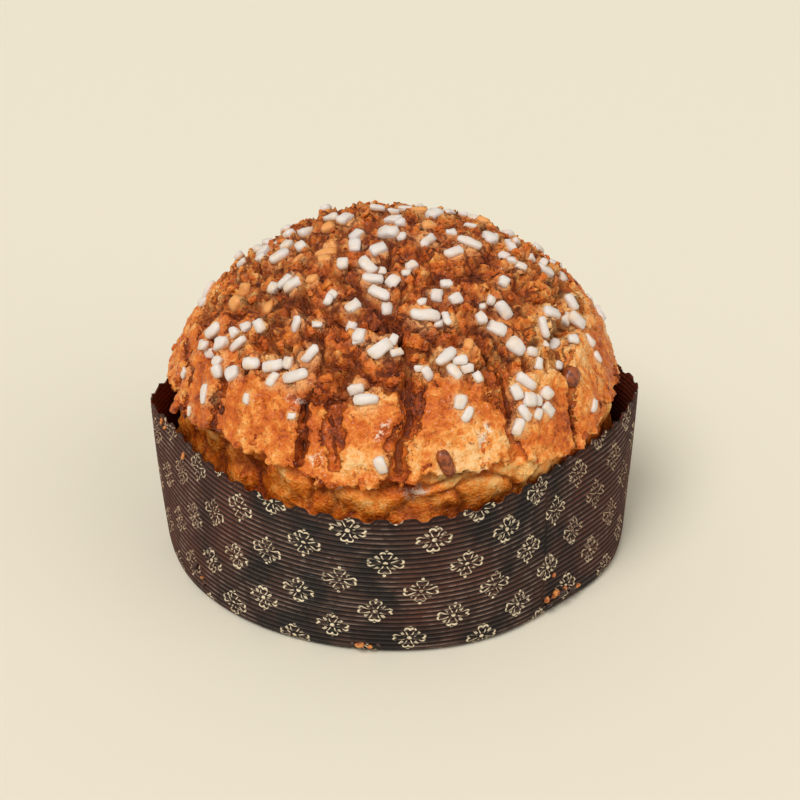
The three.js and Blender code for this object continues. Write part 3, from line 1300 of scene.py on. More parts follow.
@dataclass
class Loaf:
    """The loaf: a wide dome with a split glaze, a ledge, and a bare skirt that goes into the paper."""

    mould: PaperMould
    camera: PhotoCamera
    waist_radius: float = 97.0
    waist_height: float = 74.0
    top_height: float = 145.0
    shoulder_power: float = 2.3
    crown_power: float = 1.7
    foot_height: float = 1.8
    foot_rounding: float = 4.0
    clearance: float = 0.9
    clears_rim: float = 76.0
    leaves_paper: float = 30.0
    waist_lobes: tuple[Lobe, ...] = (Lobe(-92, 42, 10), Lobe(88, 42, 10))
    cells_across: int = 268
    side_heights: tuple[float, ...] = (72, 69.5, 67, 64.5, 62, 59, 56, 52, 48, 43, 38, 32, 24, 14, 5.8)
    swell: float = 1.5
    ledge_share: float = 0.915
    ledge_wave: float = 0.035
    ledge_depth: float = 2.8
    cap_end: float = 0.6
    hidden_fissure_bearings: tuple[float, ...] = (12, 37, 66, 91, 118, 146, 172, 196)
    shown_fissures: tuple[Fissure, ...] = (
        Fissure(((318, 322), (323, 350), (319, 382), (304, 402), (303, 430), (300, 462)), 3.2, 1.4),
        Fissure(((383, 285), (392, 312), (402, 345), (409, 380), (406, 425), (400, 472)), 3.8, 2.8),
        Fissure(((440, 300), (458, 322), (480, 345), (500, 372), (507, 405), (512, 440), (517, 484))),
        Fissure(((556, 330), (563, 358), (568, 392), (571, 422), (572, 446)), 3.8, 2.2),
        Fissure(((231, 372), (228, 392), (216, 406), (214, 436))),
        Fissure(((345, 360), (338, 392), (331, 425), (336, 462)), 1.4, 2.2),
        Fissure(((300, 300), (316, 318), (345, 322), (383, 330)), 3.0, 2.0),
        Fissure(((405, 345), (430, 350), (450, 345), (478, 340)), 3.0, 1.8),
        Fissure(((250, 345), (275, 352), (300, 350), (318, 345)), 2.6, 1.6),
        Fissure(((190, 345), (196, 372), (190, 402)), 2.2, 1.6),
    )
    shown_rolls: tuple[Streak, ...] = (
        Streak(525, 470, 84, 17, 6.0, 3.2),
        Streak(231, 479, 82, 9, 5.0, 2.4),
    )
    browning_patches: tuple[Streak, ...] = (
        Streak(560, 325, 60, 90, 44, -0.15),
        Streak(385, 290, 80, 130, 90, 0.15),
        Streak(586, 405, 80, 70, 28, -0.12),
        Streak(262, 430, 0, 70, 50, 0.06),
        Streak(455, 415, 0, 80, 50, -0.12),
        Streak(510, 480, -20, 90, 30, -0.2),
    )
    hollow_bearing: float = -148.0
    hollow_depth: float = 4.5
    starch_patches: tuple[Streak, ...] = (
        Streak(295, 399, 10, 8, 3),
        Streak(315, 461, 20, 8, 5),
        Streak(485, 434, 80, 12, 6),
        Streak(412, 497, 10, 16, 5),
        Streak(330, 488, 5, 14, 3),
        Streak(380, 432, 60, 10, 5),
        Streak(500, 268, -20, 12, 5),
        Streak(288, 285, 30, 12, 5),
    )
    sizes: CrustSizes = field(default_factory=CrustSizes)
    shades: CrustShades = field(default_factory=CrustShades)

    def room(self, bearing: Array, height: Array) -> Array:
        """Gives the largest radius that the paper leaves.

        Args:
            bearing: Bearings in radians.
            height: Heights in millimetres.

        Returns:
            Radii in millimetres, endless above the rim.
        """
        inside = self.mould.wall_radius(bearing, np.minimum(height, self.mould.height))
        inside = inside - self.mould.thickness - self.mould.rib_depth / 2 - self.clearance
        return np.where(height > self.clears_rim, np.inf, inside)

    def dome(self, bearing: Array, share: Array) -> tuple[Array, Array]:
        """Gives the dome's plain form.

        Args:
            bearing: Bearings in radians.
            share: How far down from the crown, 1 at the waist.

        Returns:
            Points and outward directions.
        """
        turn = math.pi / 2 * share
        waist = self.waist_radius + lobes_at(self.waist_lobes, bearing)
        rise = self.top_height - self.waist_height
        sine, cosine = np.sin(turn), np.clip(np.cos(turn), 0, 1)
        radius = waist * sine ** (2 / self.shoulder_power)
        height = self.waist_height + rise * cosine ** (2 / self.crown_power)
        outward = sine ** (2 - 2 / self.shoulder_power) / waist
        upward = cosine ** (2 - 2 / self.crown_power) / rise
        across, along = np.cos(bearing), np.sin(bearing)
        points = np.stack([radius * across, radius * along, height], axis=1)
        return points, unit(np.stack([outward * across, outward * along, upward], axis=1))

    def side(self, bearing: Array, height: float) -> tuple[Array, Array]:
        """Gives the plain form below the waist: against the paper first, then drawing in.

        Args:
            bearing: Bearings in radians.
            height: The row's height in millimetres.

        Returns:
            Points and outward directions.
        """
        level = np.full_like(bearing, height)
        across, along = np.cos(bearing), np.sin(bearing)
        room = self.room(bearing, level)
        held = self.room(bearing, np.full_like(bearing, self.leaves_paper))
        waist = self.waist_radius + lobes_at(self.waist_lobes, bearing)
        share = smoothstep(level, self.leaves_paper, self.waist_height)
        radius = np.minimum(room, held + (waist - held) * share) if height > self.leaves_paper else room
        points = np.stack([radius * across, radius * along, level], axis=1)
        return points, np.stack([across, along, np.zeros_like(bearing)], axis=1)

    def lay_out(self) -> tuple[Array, Array, Array, list[tuple[int, ...]]]:
        """Lays a square grid on the dome, its outer ring on the waist, and rows down the side.

        Returns:
            Plain points, directions, each point's share of the way down, and the faces.
        """
        count = self.cells_across
        half = count / 2
        x, y = np.meshgrid(np.arange(count + 1) - half, np.arange(count + 1) - half)
        x, y = x.ravel(), y.ravel()
        reach = np.maximum(np.abs(x), np.abs(y))
        wide = np.abs(x) >= np.abs(y)
        with np.errstate(divide="ignore", invalid="ignore"):
            by_x = math.pi / 4 * y / x + np.where(x < 0, math.pi, 0)
            by_y = math.pi / 2 - math.pi / 4 * x / y + np.where(y < 0, math.pi, 0)
        bearing = np.where(reach == 0, 0, np.where(wide, by_x, by_y))
        share = reach / half
        points, normals = self.dome(bearing, np.maximum(share, 1e-4))
        width = count + 1
        faces = [
            (r * width + c, r * width + c + 1, (r + 1) * width + c + 1, (r + 1) * width + c)
            for r in range(count)
            for c in range(count)
        ]
        right = [r * width + count for r in range(count)]
        far = [count * width + c for c in range(count, 0, -1)]
        left = [r * width for r in range(count, 0, -1)]
        near = list(range(count))
        rim = right + far + left + near
        rim_bearing = bearing[rim]
        all_points, all_normals, all_shares = [points], [normals], [share]
        above = rim
        total = len(points)
        for height in (*self.side_heights, self.foot_height):
            row_points, row_normals = self.side(rim_bearing, height)
            if height == self.foot_height:
                row_points[:, :2] -= self.foot_rounding * row_normals[:, :2]
            below = list(range(total, total + len(rim)))
            total += len(rim)
            all_points.append(row_points)
            all_normals.append(row_normals)
            reach_down = (self.waist_height - height) / (self.waist_radius * math.pi / 2)
            all_shares.append(np.full(len(rim), 1 + reach_down))
            for i in range(len(rim)):
                beside = (i + 1) % len(rim)
                faces.append((below[i], below[beside], above[beside], above[i]))
            above = below
        all_points.append(np.array([[0, 0, self.foot_height]]))
        all_normals.append(np.array([[0, 0, -1.0]]))
        all_shares.append(np.array([2.0]))
        for i in range(len(rim)):
            faces.append((total, above[(i + 1) % len(rim)], above[i]))
        return np.concatenate(all_points), np.concatenate(all_normals), np.concatenate(all_shares), faces

    def cast(self, tree: BVHTree, x: float, y: float) -> tuple[Array, Array] | None:
        """Finds what a pixel of the photograph shows.

        Args:
            tree: The surface, in millimetres.
            x: The pixel's place from the left.
            y: Its place from the top.

        Returns:
            The point and its outward direction, or nothing where the ray misses.
        """
        point, normal, _, _ = tree.ray_cast(self.camera.place, self.camera.ray(x, y))
        if point is None:
            return None
        return np.array(point), np.array(normal)

    def streak_cover(self, tree: BVHTree, points: Array, streak: Streak) -> Array:
        """Gives how far inside a streak each point lies.

        Args:
            tree: The surface that the streak's middle is found on.
            points: The points to read.
            streak: The streak.

        Returns:
            1 at the middle, 0 at the streak's edge and below 0 outside.
        """
        found = self.cast(tree, streak.x, streak.y)
        if found is None:
            return np.full(len(points), -1.0)
        middle, normal = found
        along, across = self.axes(normal, streak.lean)
        offset = points - middle
        u = offset @ along / (streak.length / 2)
        v = offset @ across / (streak.width / 2)
        w = offset @ normal / (streak.length / 2)
        return 1 - u * u - v * v - w * w

    def axes(self, normal: Array, lean: float) -> tuple[Array, Array]:
        """Turns a lean in the photograph into directions on the surface.

        Args:
            normal: The surface's outward direction.
            lean: Degrees up from the photograph's right.

        Returns:
            The direction along and the one across.
        """
        turn = math.radians(lean)
        flat = np.array(self.camera.right) * math.cos(turn) + np.array(self.camera.up) * math.sin(turn)
        view = np.array(self.camera.forward)
        along = unit(flat - view * (flat @ normal) / min(view @ normal, -0.35))
        return along, np.cross(normal, along)

    def hidden_fissures(self) -> list[tuple[Array, Fissure]]:
        """Works out the fissures on the side that the photograph doesn't show.

        Returns:
            For each its path in millimetres and its sizes.
        """
        found = []
        share = np.linspace(0.3, 1.0, 9)
        for i, degrees in enumerate(self.hidden_fissure_bearings):
            wander = 0.05 * np.sin(5.1 * share + 2.3 * i) + 0.02 * np.sin(17 * share + i)
            path, _ = self.dome(math.radians(degrees) + wander, share)
            found.append((path, Fissure((), 4.0 + 0.6 * math.sin(3 * i), 2.1 + 0.5 * math.sin(5 * i))))
        return found

    def fissure_cut(self, tree: BVHTree, points: Array) -> tuple[Array, Array]:
        """Measures the fissures.

        Args:
            tree: The plain surface.
            points: The points to read.

        Returns:
            How deep the fissures cut at each point in millimetres, and the distance to the nearest.
        """
        paths = self.hidden_fissures()
        for fissure in self.shown_fissures:
            found = [self.cast(tree, x, y) for x, y in fissure.path]
            paths.append((np.array([hit[0] for hit in found if hit is not None]), fissure))
        cut = np.zeros(len(points))
        nearest = np.full(len(points), 99.0)
        for path, fissure in paths:
            for start, end in zip(path[:-1], path[1:]):
                step = end - start
                share = np.clip((points - start) @ step / (step @ step), 0, 1)
                apart = np.linalg.norm(points - start - share[:, None] * step, axis=1)
                cut = np.maximum(cut, fissure.depth * np.exp(-((apart / fissure.half_width) ** 2)))
                nearest = np.minimum(nearest, apart * 2.2 / fissure.half_width)
        return cut, nearest

    def noises(self, plain: Array) -> CrustNoise:
        """Reads the random fields that the crust's forms follow.

        Args:
            plain: The plain surface's points.

        Returns:
            The fields.
        """
        sizes = self.sizes
        torn = plain
        for size, reach, seed in sizes.tears:
            torn = torn + drift(plain, size, reach, seed)
        broad = rough(plain, sizes.broad, 2, 1)
        middle = rough(torn, sizes.middle, 3, 2)
        small = rough(plain, sizes.small, 3, 3)
        return CrustNoise(torn, broad, middle, small)

    def zones(
        self, share: Array, bearing: Array, apart: Array, noises: CrustNoise
    ) -> CrustZones:
        """Parts the crust into the crumbly cap, glazed plates, their ledge and the bare skirt.

        Args:
            share: Each point's share of the way down.
            bearing: Its bearing in radians.
            apart: Its distance from the nearest fissure.
            noises: The random fields.

        Returns:
            The zones.
        """
        sizes = self.sizes
        middle, small = noises.middle, noises.small
        by_broad, by_middle, by_small = sizes.cap_blend
        ragged = by_broad * noises.broad + by_middle * middle + by_small * small
        above, below = sizes.cap_edge
        cap = 1 - smoothstep(share + ragged, self.cap_end - above, self.cap_end + below)
        waves, turn = sizes.ledge_waves
        wave = self.ledge_wave * np.sin(waves * bearing + turn)
        by_middle, by_small = sizes.ledge_blend
        ledge = self.ledge_share + wave + by_middle * middle + by_small * small
        above, below = sizes.skirt_edge
        skirt = smoothstep(share, ledge - above, ledge + below)
        lip = np.exp(-(((share - ledge + sizes.lip_above) / sizes.lip_width) ** 2)) * (1 - skirt)
        glazed = (1 - cap) * (1 - skirt)
        by_broad, by_middle, by_small = sizes.plate_blend
        raised = (apart - sizes.plate_from) / sizes.plate_rise + by_middle * middle
        raised = raised + by_small * small + by_broad * noises.broad
        plate = smoothstep(raised, -sizes.plate_edge, sizes.plate_edge) * glazed
        by_flake, by_small = sizes.flake_blend
        flake = by_flake * rough(noises.torn, sizes.flake, 3, 7) + by_small * small
        flake = smoothstep(flake, *sizes.flake_edge) * cap
        return CrustZones(cap, ledge, skirt, lip, glazed, raised, plate, flake)

    def gaps(self, plain: Array, noises: CrustNoise) -> CrustGaps:
        """Finds the gaps in the crust.

        Args:
            plain: The plain surface's points.
            noises: The random fields.

        Returns:
            The gaps.
        """
        sizes = self.sizes
        _, lump_border = cells(noises.torn, sizes.lump_cell)
        crumb_near, crumb_border = cells(noises.torn, sizes.crumb_cell)
        roll_near, roll_border = cells(plain + drift(plain, *sizes.roll_drift), sizes.roll_cell)
        by_broad, by_middle, by_small = sizes.scale_blend
        scales = (by_middle * noises.middle + by_small * noises.small + by_broad * noises.broad) % 1.0
        scale_gap = np.exp(-((scales / sizes.scale_gap) ** 2))
        return CrustGaps(
            lump=np.exp(-((lump_border / sizes.lump_gap) ** 2)),
            crumb=np.exp(-((crumb_border / sizes.crumb_gap) ** 2)),
            crumb_near=crumb_near,
            roll=np.exp(-((roll_border / sizes.roll_gap) ** 2)),
            roll_near=roll_near,
            scales=scales,
            scale=scale_gap * smoothstep(noises.small, *sizes.scale_gap_shows),
        )

    def swells(self, share: Array, bearing: Array) -> Array:
        """Gives the broad swells.

        Args:
            share: Each point's share of the way down.
            bearing: Its bearing in radians.

        Returns:
            Heights in millimetres.
        """
        waves = sum(
            height * np.sin(around * bearing + down * share + turn)
            for height, around, down, turn in self.sizes.swell_waves
        )
        return self.swell * np.minimum(1, self.sizes.swell_start * share) * waves

    def fine_relief(self, noises: CrustNoise, zones: CrustZones, gaps: CrustGaps) -> Array:
        """Gives the crumbs' relief.

        Args:
            noises: The random fields.
            zones: The crust's zones.
            gaps: The crust's gaps.

        Returns:
            Heights in millimetres.
        """
        everywhere, on_cap = self.sizes.crumbly
        crumbly = everywhere + on_cap * zones.cap
        return (
            -self.sizes.crumb_depth * gaps.crumb * crumbly * (1 - zones.skirt)
            + noises.small * crumbly
            + (0.5 - gaps.crumb_near) * crumbly * (1 - zones.skirt)
        )

    def skirt_relief(self, bearing: Array, gaps: CrustGaps) -> Array:
        """Gives the rolls of the bare skirt, which stands back under the ledge.

        Args:
            bearing: Each point's bearing in radians.
            gaps: The crust's gaps.

        Returns:
            Heights in millimetres.
        """
        sizes = self.sizes
        facing = np.cos(bearing - math.radians(self.hollow_bearing))
        hollow = self.hollow_depth * smoothstep(facing, sizes.hollow_spread, 1.0)
        rolls = sizes.roll_height * (sizes.roll_level - gaps.roll_near)
        return rolls - sizes.roll_gap_depth * gaps.roll - self.ledge_depth - hollow

    def seen_rolls(self, tree: BVHTree, plain: Array) -> Array:
        """Gives the rolls that the photograph shows.

        Args:
            tree: The plain surface.
            plain: Its points.

        Returns:
            Heights in millimetres.
        """
        rolls = np.zeros(len(plain))
        for streak in self.shown_rolls:
            cover = self.streak_cover(tree, plain, streak)
            rolls = np.maximum(rolls, streak.height * np.sqrt(np.clip(cover, 0, 1)))
        return rolls

    def held_in(self, points: Array) -> Array:
        """Keeps points inside the paper.

        Args:
            points: The crust's points.

        Returns:
            The points, drawn in where the paper is in their way.
        """
        radius = np.linalg.norm(points[:, :2], axis=1)
        room = self.room(np.arctan2(points[:, 1], points[:, 0]), points[:, 2])
        held = np.minimum(1, room / np.maximum(radius, SMALLEST))
        points[:, :2] *= held[:, None]
        return points

    def painted_crevice_shades(
        self, plain: Array, share: Array, noises: CrustNoise, zones: CrustZones, gaps: CrustGaps
    ) -> Array:
        """Gives the painted shade in the crust's gaps and the painted shadow under its ledge.

        Args:
            plain: The plain surface's points.
            share: Each point's share of the way down.
            noises: The random fields.
            zones: The crust's zones.
            gaps: The crust's gaps.

        Returns:
            Shares, about 1 in the darkest.
        """
        shades = self.shades
        # Painted shadow: a dark line just under the ledge.
        ledge = np.exp(-(((share - zones.ledge - shades.ledge_below) / shades.ledge_width) ** 2))
        ledge = ledge * smoothstep(noises.broad, *shades.ledge_shows)
        # Painted shade in the gaps between lumps, crumbs, scales and rolls.
        deepest_painted_shade = np.maximum.reduce(
            [
                shades.lump_gap * gaps.lump * zones.cap,
                shades.crumb_gap * gaps.crumb * zones.cap,
                shades.scale_gap * gaps.scale * zones.cap,
                shades.roll_gap * gaps.roll * zones.skirt,
                shades.ledge * ledge,
            ]
        )
        everywhere, by_small = shades.gap_blend
        uneven = deepest_painted_shade * (everywhere + by_small * noises.small)
        return uneven * smoothstep(plain[:, 2], *shades.gap_heights)

    def toast_and_shade(
        self, tree: BVHTree, share: Array, noises: CrustNoise, zones: CrustZones, gaps: CrustGaps
    ) -> Array:
        """Gives how brown the crust is, with painted shade that follows the relief.

        Args:
            tree: The plain surface.
            share: Each point's share of the way down.
            noises: The random fields.
            zones: The crust's zones.
            gaps: The crust's gaps.

        Returns:
            Shares, about 1 where it is brownest.
        """
        shades, broad, middle = self.shades, noises.broad, noises.middle
        # Painted shade on the cap: lighter where the middle relief stands up.
        level, by_middle, by_flake, by_broad = shades.cap
        cap = zones.cap * (level - by_middle * middle - by_flake * zones.flake + by_broad * broad)
        level, by_middle, by_plate, by_broad = shades.plate
        glaze = level - by_middle * middle - by_plate * zones.plate + by_broad * broad
        # Painted shade on the skirt: darker towards the rolls' sunken edges; it also gets darker towards
        # the foot.
        level, by_roll, by_foot = shades.skirt
        skirt = level + by_roll * gaps.roll_near + by_foot * smoothstep(share, *shades.skirt_foot)
        toast_and_shade = cap + zones.glazed * glaze + zones.skirt * skirt
        # Painted shade: darker where the fine relief sinks.
        toast_and_shade = toast_and_shade - shades.fine * self.fine_relief(noises, zones, gaps)
        for streak in self.browning_patches:
            cover = self.streak_cover(tree, noises.torn, streak)
            toast_and_shade = toast_and_shade + streak.height * smoothstep(cover, *shades.patch_edge)
        return toast_and_shade

    def starch(self, tree: BVHTree, torn: Array) -> Array:
        """Gives where starch shows pale.

        Args:
            tree: The plain surface.
            torn: Its points as torn by the random fields.

        Returns:
            Shares from 0 to 1.
        """
        starch = np.zeros(len(torn))
        for streak in self.starch_patches:
            cover = self.streak_cover(tree, torn, streak)
            starch = np.maximum(starch, smoothstep(cover, *self.shades.starch_edge))
        return starch

    def sculpt(self) -> tuple[bpy.types.Object, CrustFields]:
        """Builds the crust: fissures, plates, crumbly cap, ledge and rolls.

        Returns:
            The piece and the fields for its material.
        """
        sizes, shades = self.sizes, self.shades
        plain, normals, share, faces = self.lay_out()
        tree = BVHTree.FromPolygons(plain.tolist(), faces)
        bearing = np.arctan2(plain[:, 1], plain[:, 0])
        noises = self.noises(plain)
        cut, apart = self.fissure_cut(tree, noises.torn)
        zones = self.zones(share, bearing, apart, noises)
        gaps = self.gaps(plain, noises)
        cap, skirt, plate = zones.cap, zones.skirt, zones.plate
        off_cap, on_cap = sizes.middle_on_cap
        relief = (
            self.swells(share, bearing)
            + self.fine_relief(noises, zones, gaps)
            + sizes.scale_height * gaps.scales * cap
            - sizes.lump_depth * gaps.lump * cap
            + sizes.middle_height * noises.middle * (off_cap + on_cap * cap)
            + sizes.small_on_plate * noises.small * plate
            - cut * (1 - sizes.uncut_skirt * skirt)
            + sizes.plate_height * plate
            + sizes.flake_height * zones.flake
            + sizes.lip_height * zones.lip
            + skirt * self.skirt_relief(bearing, gaps)
            + self.seen_rolls(tree, plain)
        )
        start, end = sizes.leaves_plain
        free = smoothstep(plain[:, 2], self.leaves_paper + start, self.leaves_paper + end)
        piece = mesh_piece("loaf", self.held_in(plain + normals * (relief * free)[:, None]), faces)

        painted_crevice_shade = self.painted_crevice_shades(plain, share, noises, zones, gaps)
        by_cap, by_flake, by_edge, by_plate, by_lip = shades.crumble
        crumble = cap * (by_cap + by_flake * zones.flake) + by_edge * plate * (1 - plate)
        crumble = crumble + by_plate * plate + by_lip * zones.lip
        crumble = crumble * (1 - shades.crumble_in_gap * painted_crevice_shade)
        split = np.exp(-((apart / shades.split_reach) ** 2)) * np.minimum(1, cut / shades.split_depth)
        return piece, CrustFields(
            toast_and_shade=self.toast_and_shade(tree, share, noises, zones, gaps),
            cap=cap,
            plate=np.clip(0.5 + shades.edge_slope * zones.raised, 0, 1) * zones.glazed,
            split=split * (1 - shades.split_on_skirt * skirt),
            skirt=np.clip(0.5 + (share - zones.ledge) / shades.skirt_slope, 0, 1),
            painted_crevice_shade=painted_crevice_shade,
            starch=shades.starch * self.starch(tree, noises.torn) * (1 - painted_crevice_shade),
            crumble=np.clip(crumble, 0, 1),
        )


@dataclass
class Nugget:
    """One small lump: where it lies on the surface, how it is turned and its sizes."""

    point: Array
    along: Array
    normal: Array
    sizes: tuple[float, float, float]


@dataclass
class Nuggets:
    """Small uneven lumps of one kind: a rounded block on each point, made uneven by its place."""

    name: str
    slot: Slot
    material: Material
    roundness: float = 0.58
    unevenness: float = 2.3
    lump_size: float = 3.2
    block_points: int = 4
    sunk: float = 0.28
    ball_radius: float = 0.56

    def tree(self) -> bpy.types.NodeTree:
        """Builds the tree that puts a block on each point.

        Returns:
            The tree, with roundness, unevenness and lump size as named inputs.
        """
        wires, given = open_tree(f"{self.name}_blocks", "Roundness", "Unevenness", "Lump Size")
        vertices = {f"Vertices {axis}": self.block_points for axis in ("X", "Y", "Z")}
        block = wires.node("GeometryNodeMeshCube", vertices).outputs["Mesh"]
        spot = wires.node("GeometryNodeInputPosition").outputs[0]
        ball = wires.vector("SCALE", wires.vector("NORMALIZE", spot), self.ball_radius)
        inward = wires.vector("SCALE", wires.vector("SUBTRACT", ball, spot), given["Roundness"])
        rounded = wires.node("GeometryNodeSetPosition", {"Geometry": block, "Offset": inward})
        parts = wires.node("ShaderNodeSeparateXYZ", {0: spot})
        level = wires.math("ADD", parts.outputs["Z"], 0.5)
        inputs = {"Name": "level", "Geometry": rounded.outputs[0], "Value": level}
        stored = wires.node("GeometryNodeStoreNamedAttribute", inputs, data_type="FLOAT", domain="POINT")
        turn, size = (
            wires.node("GeometryNodeInputNamedAttribute", {"Name": name}, data_type="FLOAT_VECTOR")
            for name in ("turn", "size")
        )
        turned = wires.node("FunctionNodeEulerToRotation", {0: turn.outputs["Attribute"]})
        inputs = {
            "Points": given["Geometry"],
            "Instance": stored.outputs[0],
            "Rotation": turned.outputs[0],
            "Scale": size.outputs["Attribute"],
        }
        placed = wires.node("GeometryNodeInstanceOnPoints", inputs)
        joined = wires.node("GeometryNodeRealizeInstances", {0: placed.outputs[0]})
        scale = wires.math("DIVIDE", 1.0, given["Lump Size"])
        lumps = wires.node("ShaderNodeTexNoise", {"Scale": scale, "Detail": 1.0})
        off = wires.vector("SUBTRACT", lumps.outputs["Color"], (0.5, 0.5, 0.5))
        inputs = {"Geometry": joined.outputs[0], "Offset": wires.vector("SCALE", off, given["Unevenness"])}
        uneven = wires.node("GeometryNodeSetPosition", inputs)
        smooth = wires.node("GeometryNodeSetShadeSmooth", {"Geometry": uneven.outputs[0]})
        return finish_tree(wires, smooth.outputs[0], self.material)

    def build(
        self, nuggets: Sequence[Nugget], masks: dict[str, Array] | None = None
    ) -> bpy.types.Object:
        """Makes the piece.

        Args:
            nuggets: The lumps.
            masks: Values that each lump hands on to its material, by name.

        Returns:
            The finished piece.
        """
        middles = []
        turns = []
        sizes = []
        for nugget in nuggets:
            lift = nugget.sizes[2] * (0.5 - self.sunk)
            middles.append(nugget.point + nugget.normal * lift)
            across = np.cross(nugget.normal, nugget.along)
            turned = Matrix((nugget.along, across, nugget.normal)).transposed()
            turns.append(tuple(turned.to_euler()))
            sizes.append(tuple(size * MM for size in nugget.sizes))
        piece = mesh_piece(self.name, np.array(middles), [])
        for label, values in (masks or {}).items():
            add_mask(piece, label, values)
        for label, values in (("turn", turns), ("size", sizes)):
            attribute = piece.data.attributes.new(label, "FLOAT_VECTOR", "POINT")
            attribute.data.foreach_set("vector", np.array(values, np.float32).ravel())
        inputs = {
            "Roundness": self.roundness,
            "Unevenness": self.unevenness * MM,
            "Lump Size": self.lump_size * MM,
        }
        run_tree(piece, self.tree(), inputs)
        return piece


def lay_shown(
    loaf: Loaf,
    surface: BVHTree,
    spots: Sequence[Spot],
    flatness: float,
    settle: Callable[[Array, Array], Array] | None = None,
) -> list[Nugget]:
    """Lays lumps where the photograph shows them.

    Args:
        loaf: The loaf, which knows the camera.
        surface: The surface that carries them.
        spots: Their places, leans, lengths and widths in pixels.
        flatness: Their thickness as a share of their width.
        settle: Turns a point and the surface's direction there into the lump's direction.

    Returns:
        The lumps.
    """
    camera = loaf.camera
    laid = []
    for x, y, lean, length, width in spots:
        hit = loaf.cast(surface, x, y)
        if hit is None:
            LOG.warning("a lump at %s, %s misses its surface", x, y)
            continue
        point, normal = hit
        if settle:
            normal = settle(point, normal)
        per_pixel = float(np.linalg.norm(point - np.array(camera.place))) / camera.focal
        along, _ = loaf.axes(normal, lean)
        sizes = (length * per_pixel, width * per_pixel, flatness * width * per_pixel)
        laid.append(Nugget(point, along, normal, sizes))
    return laid


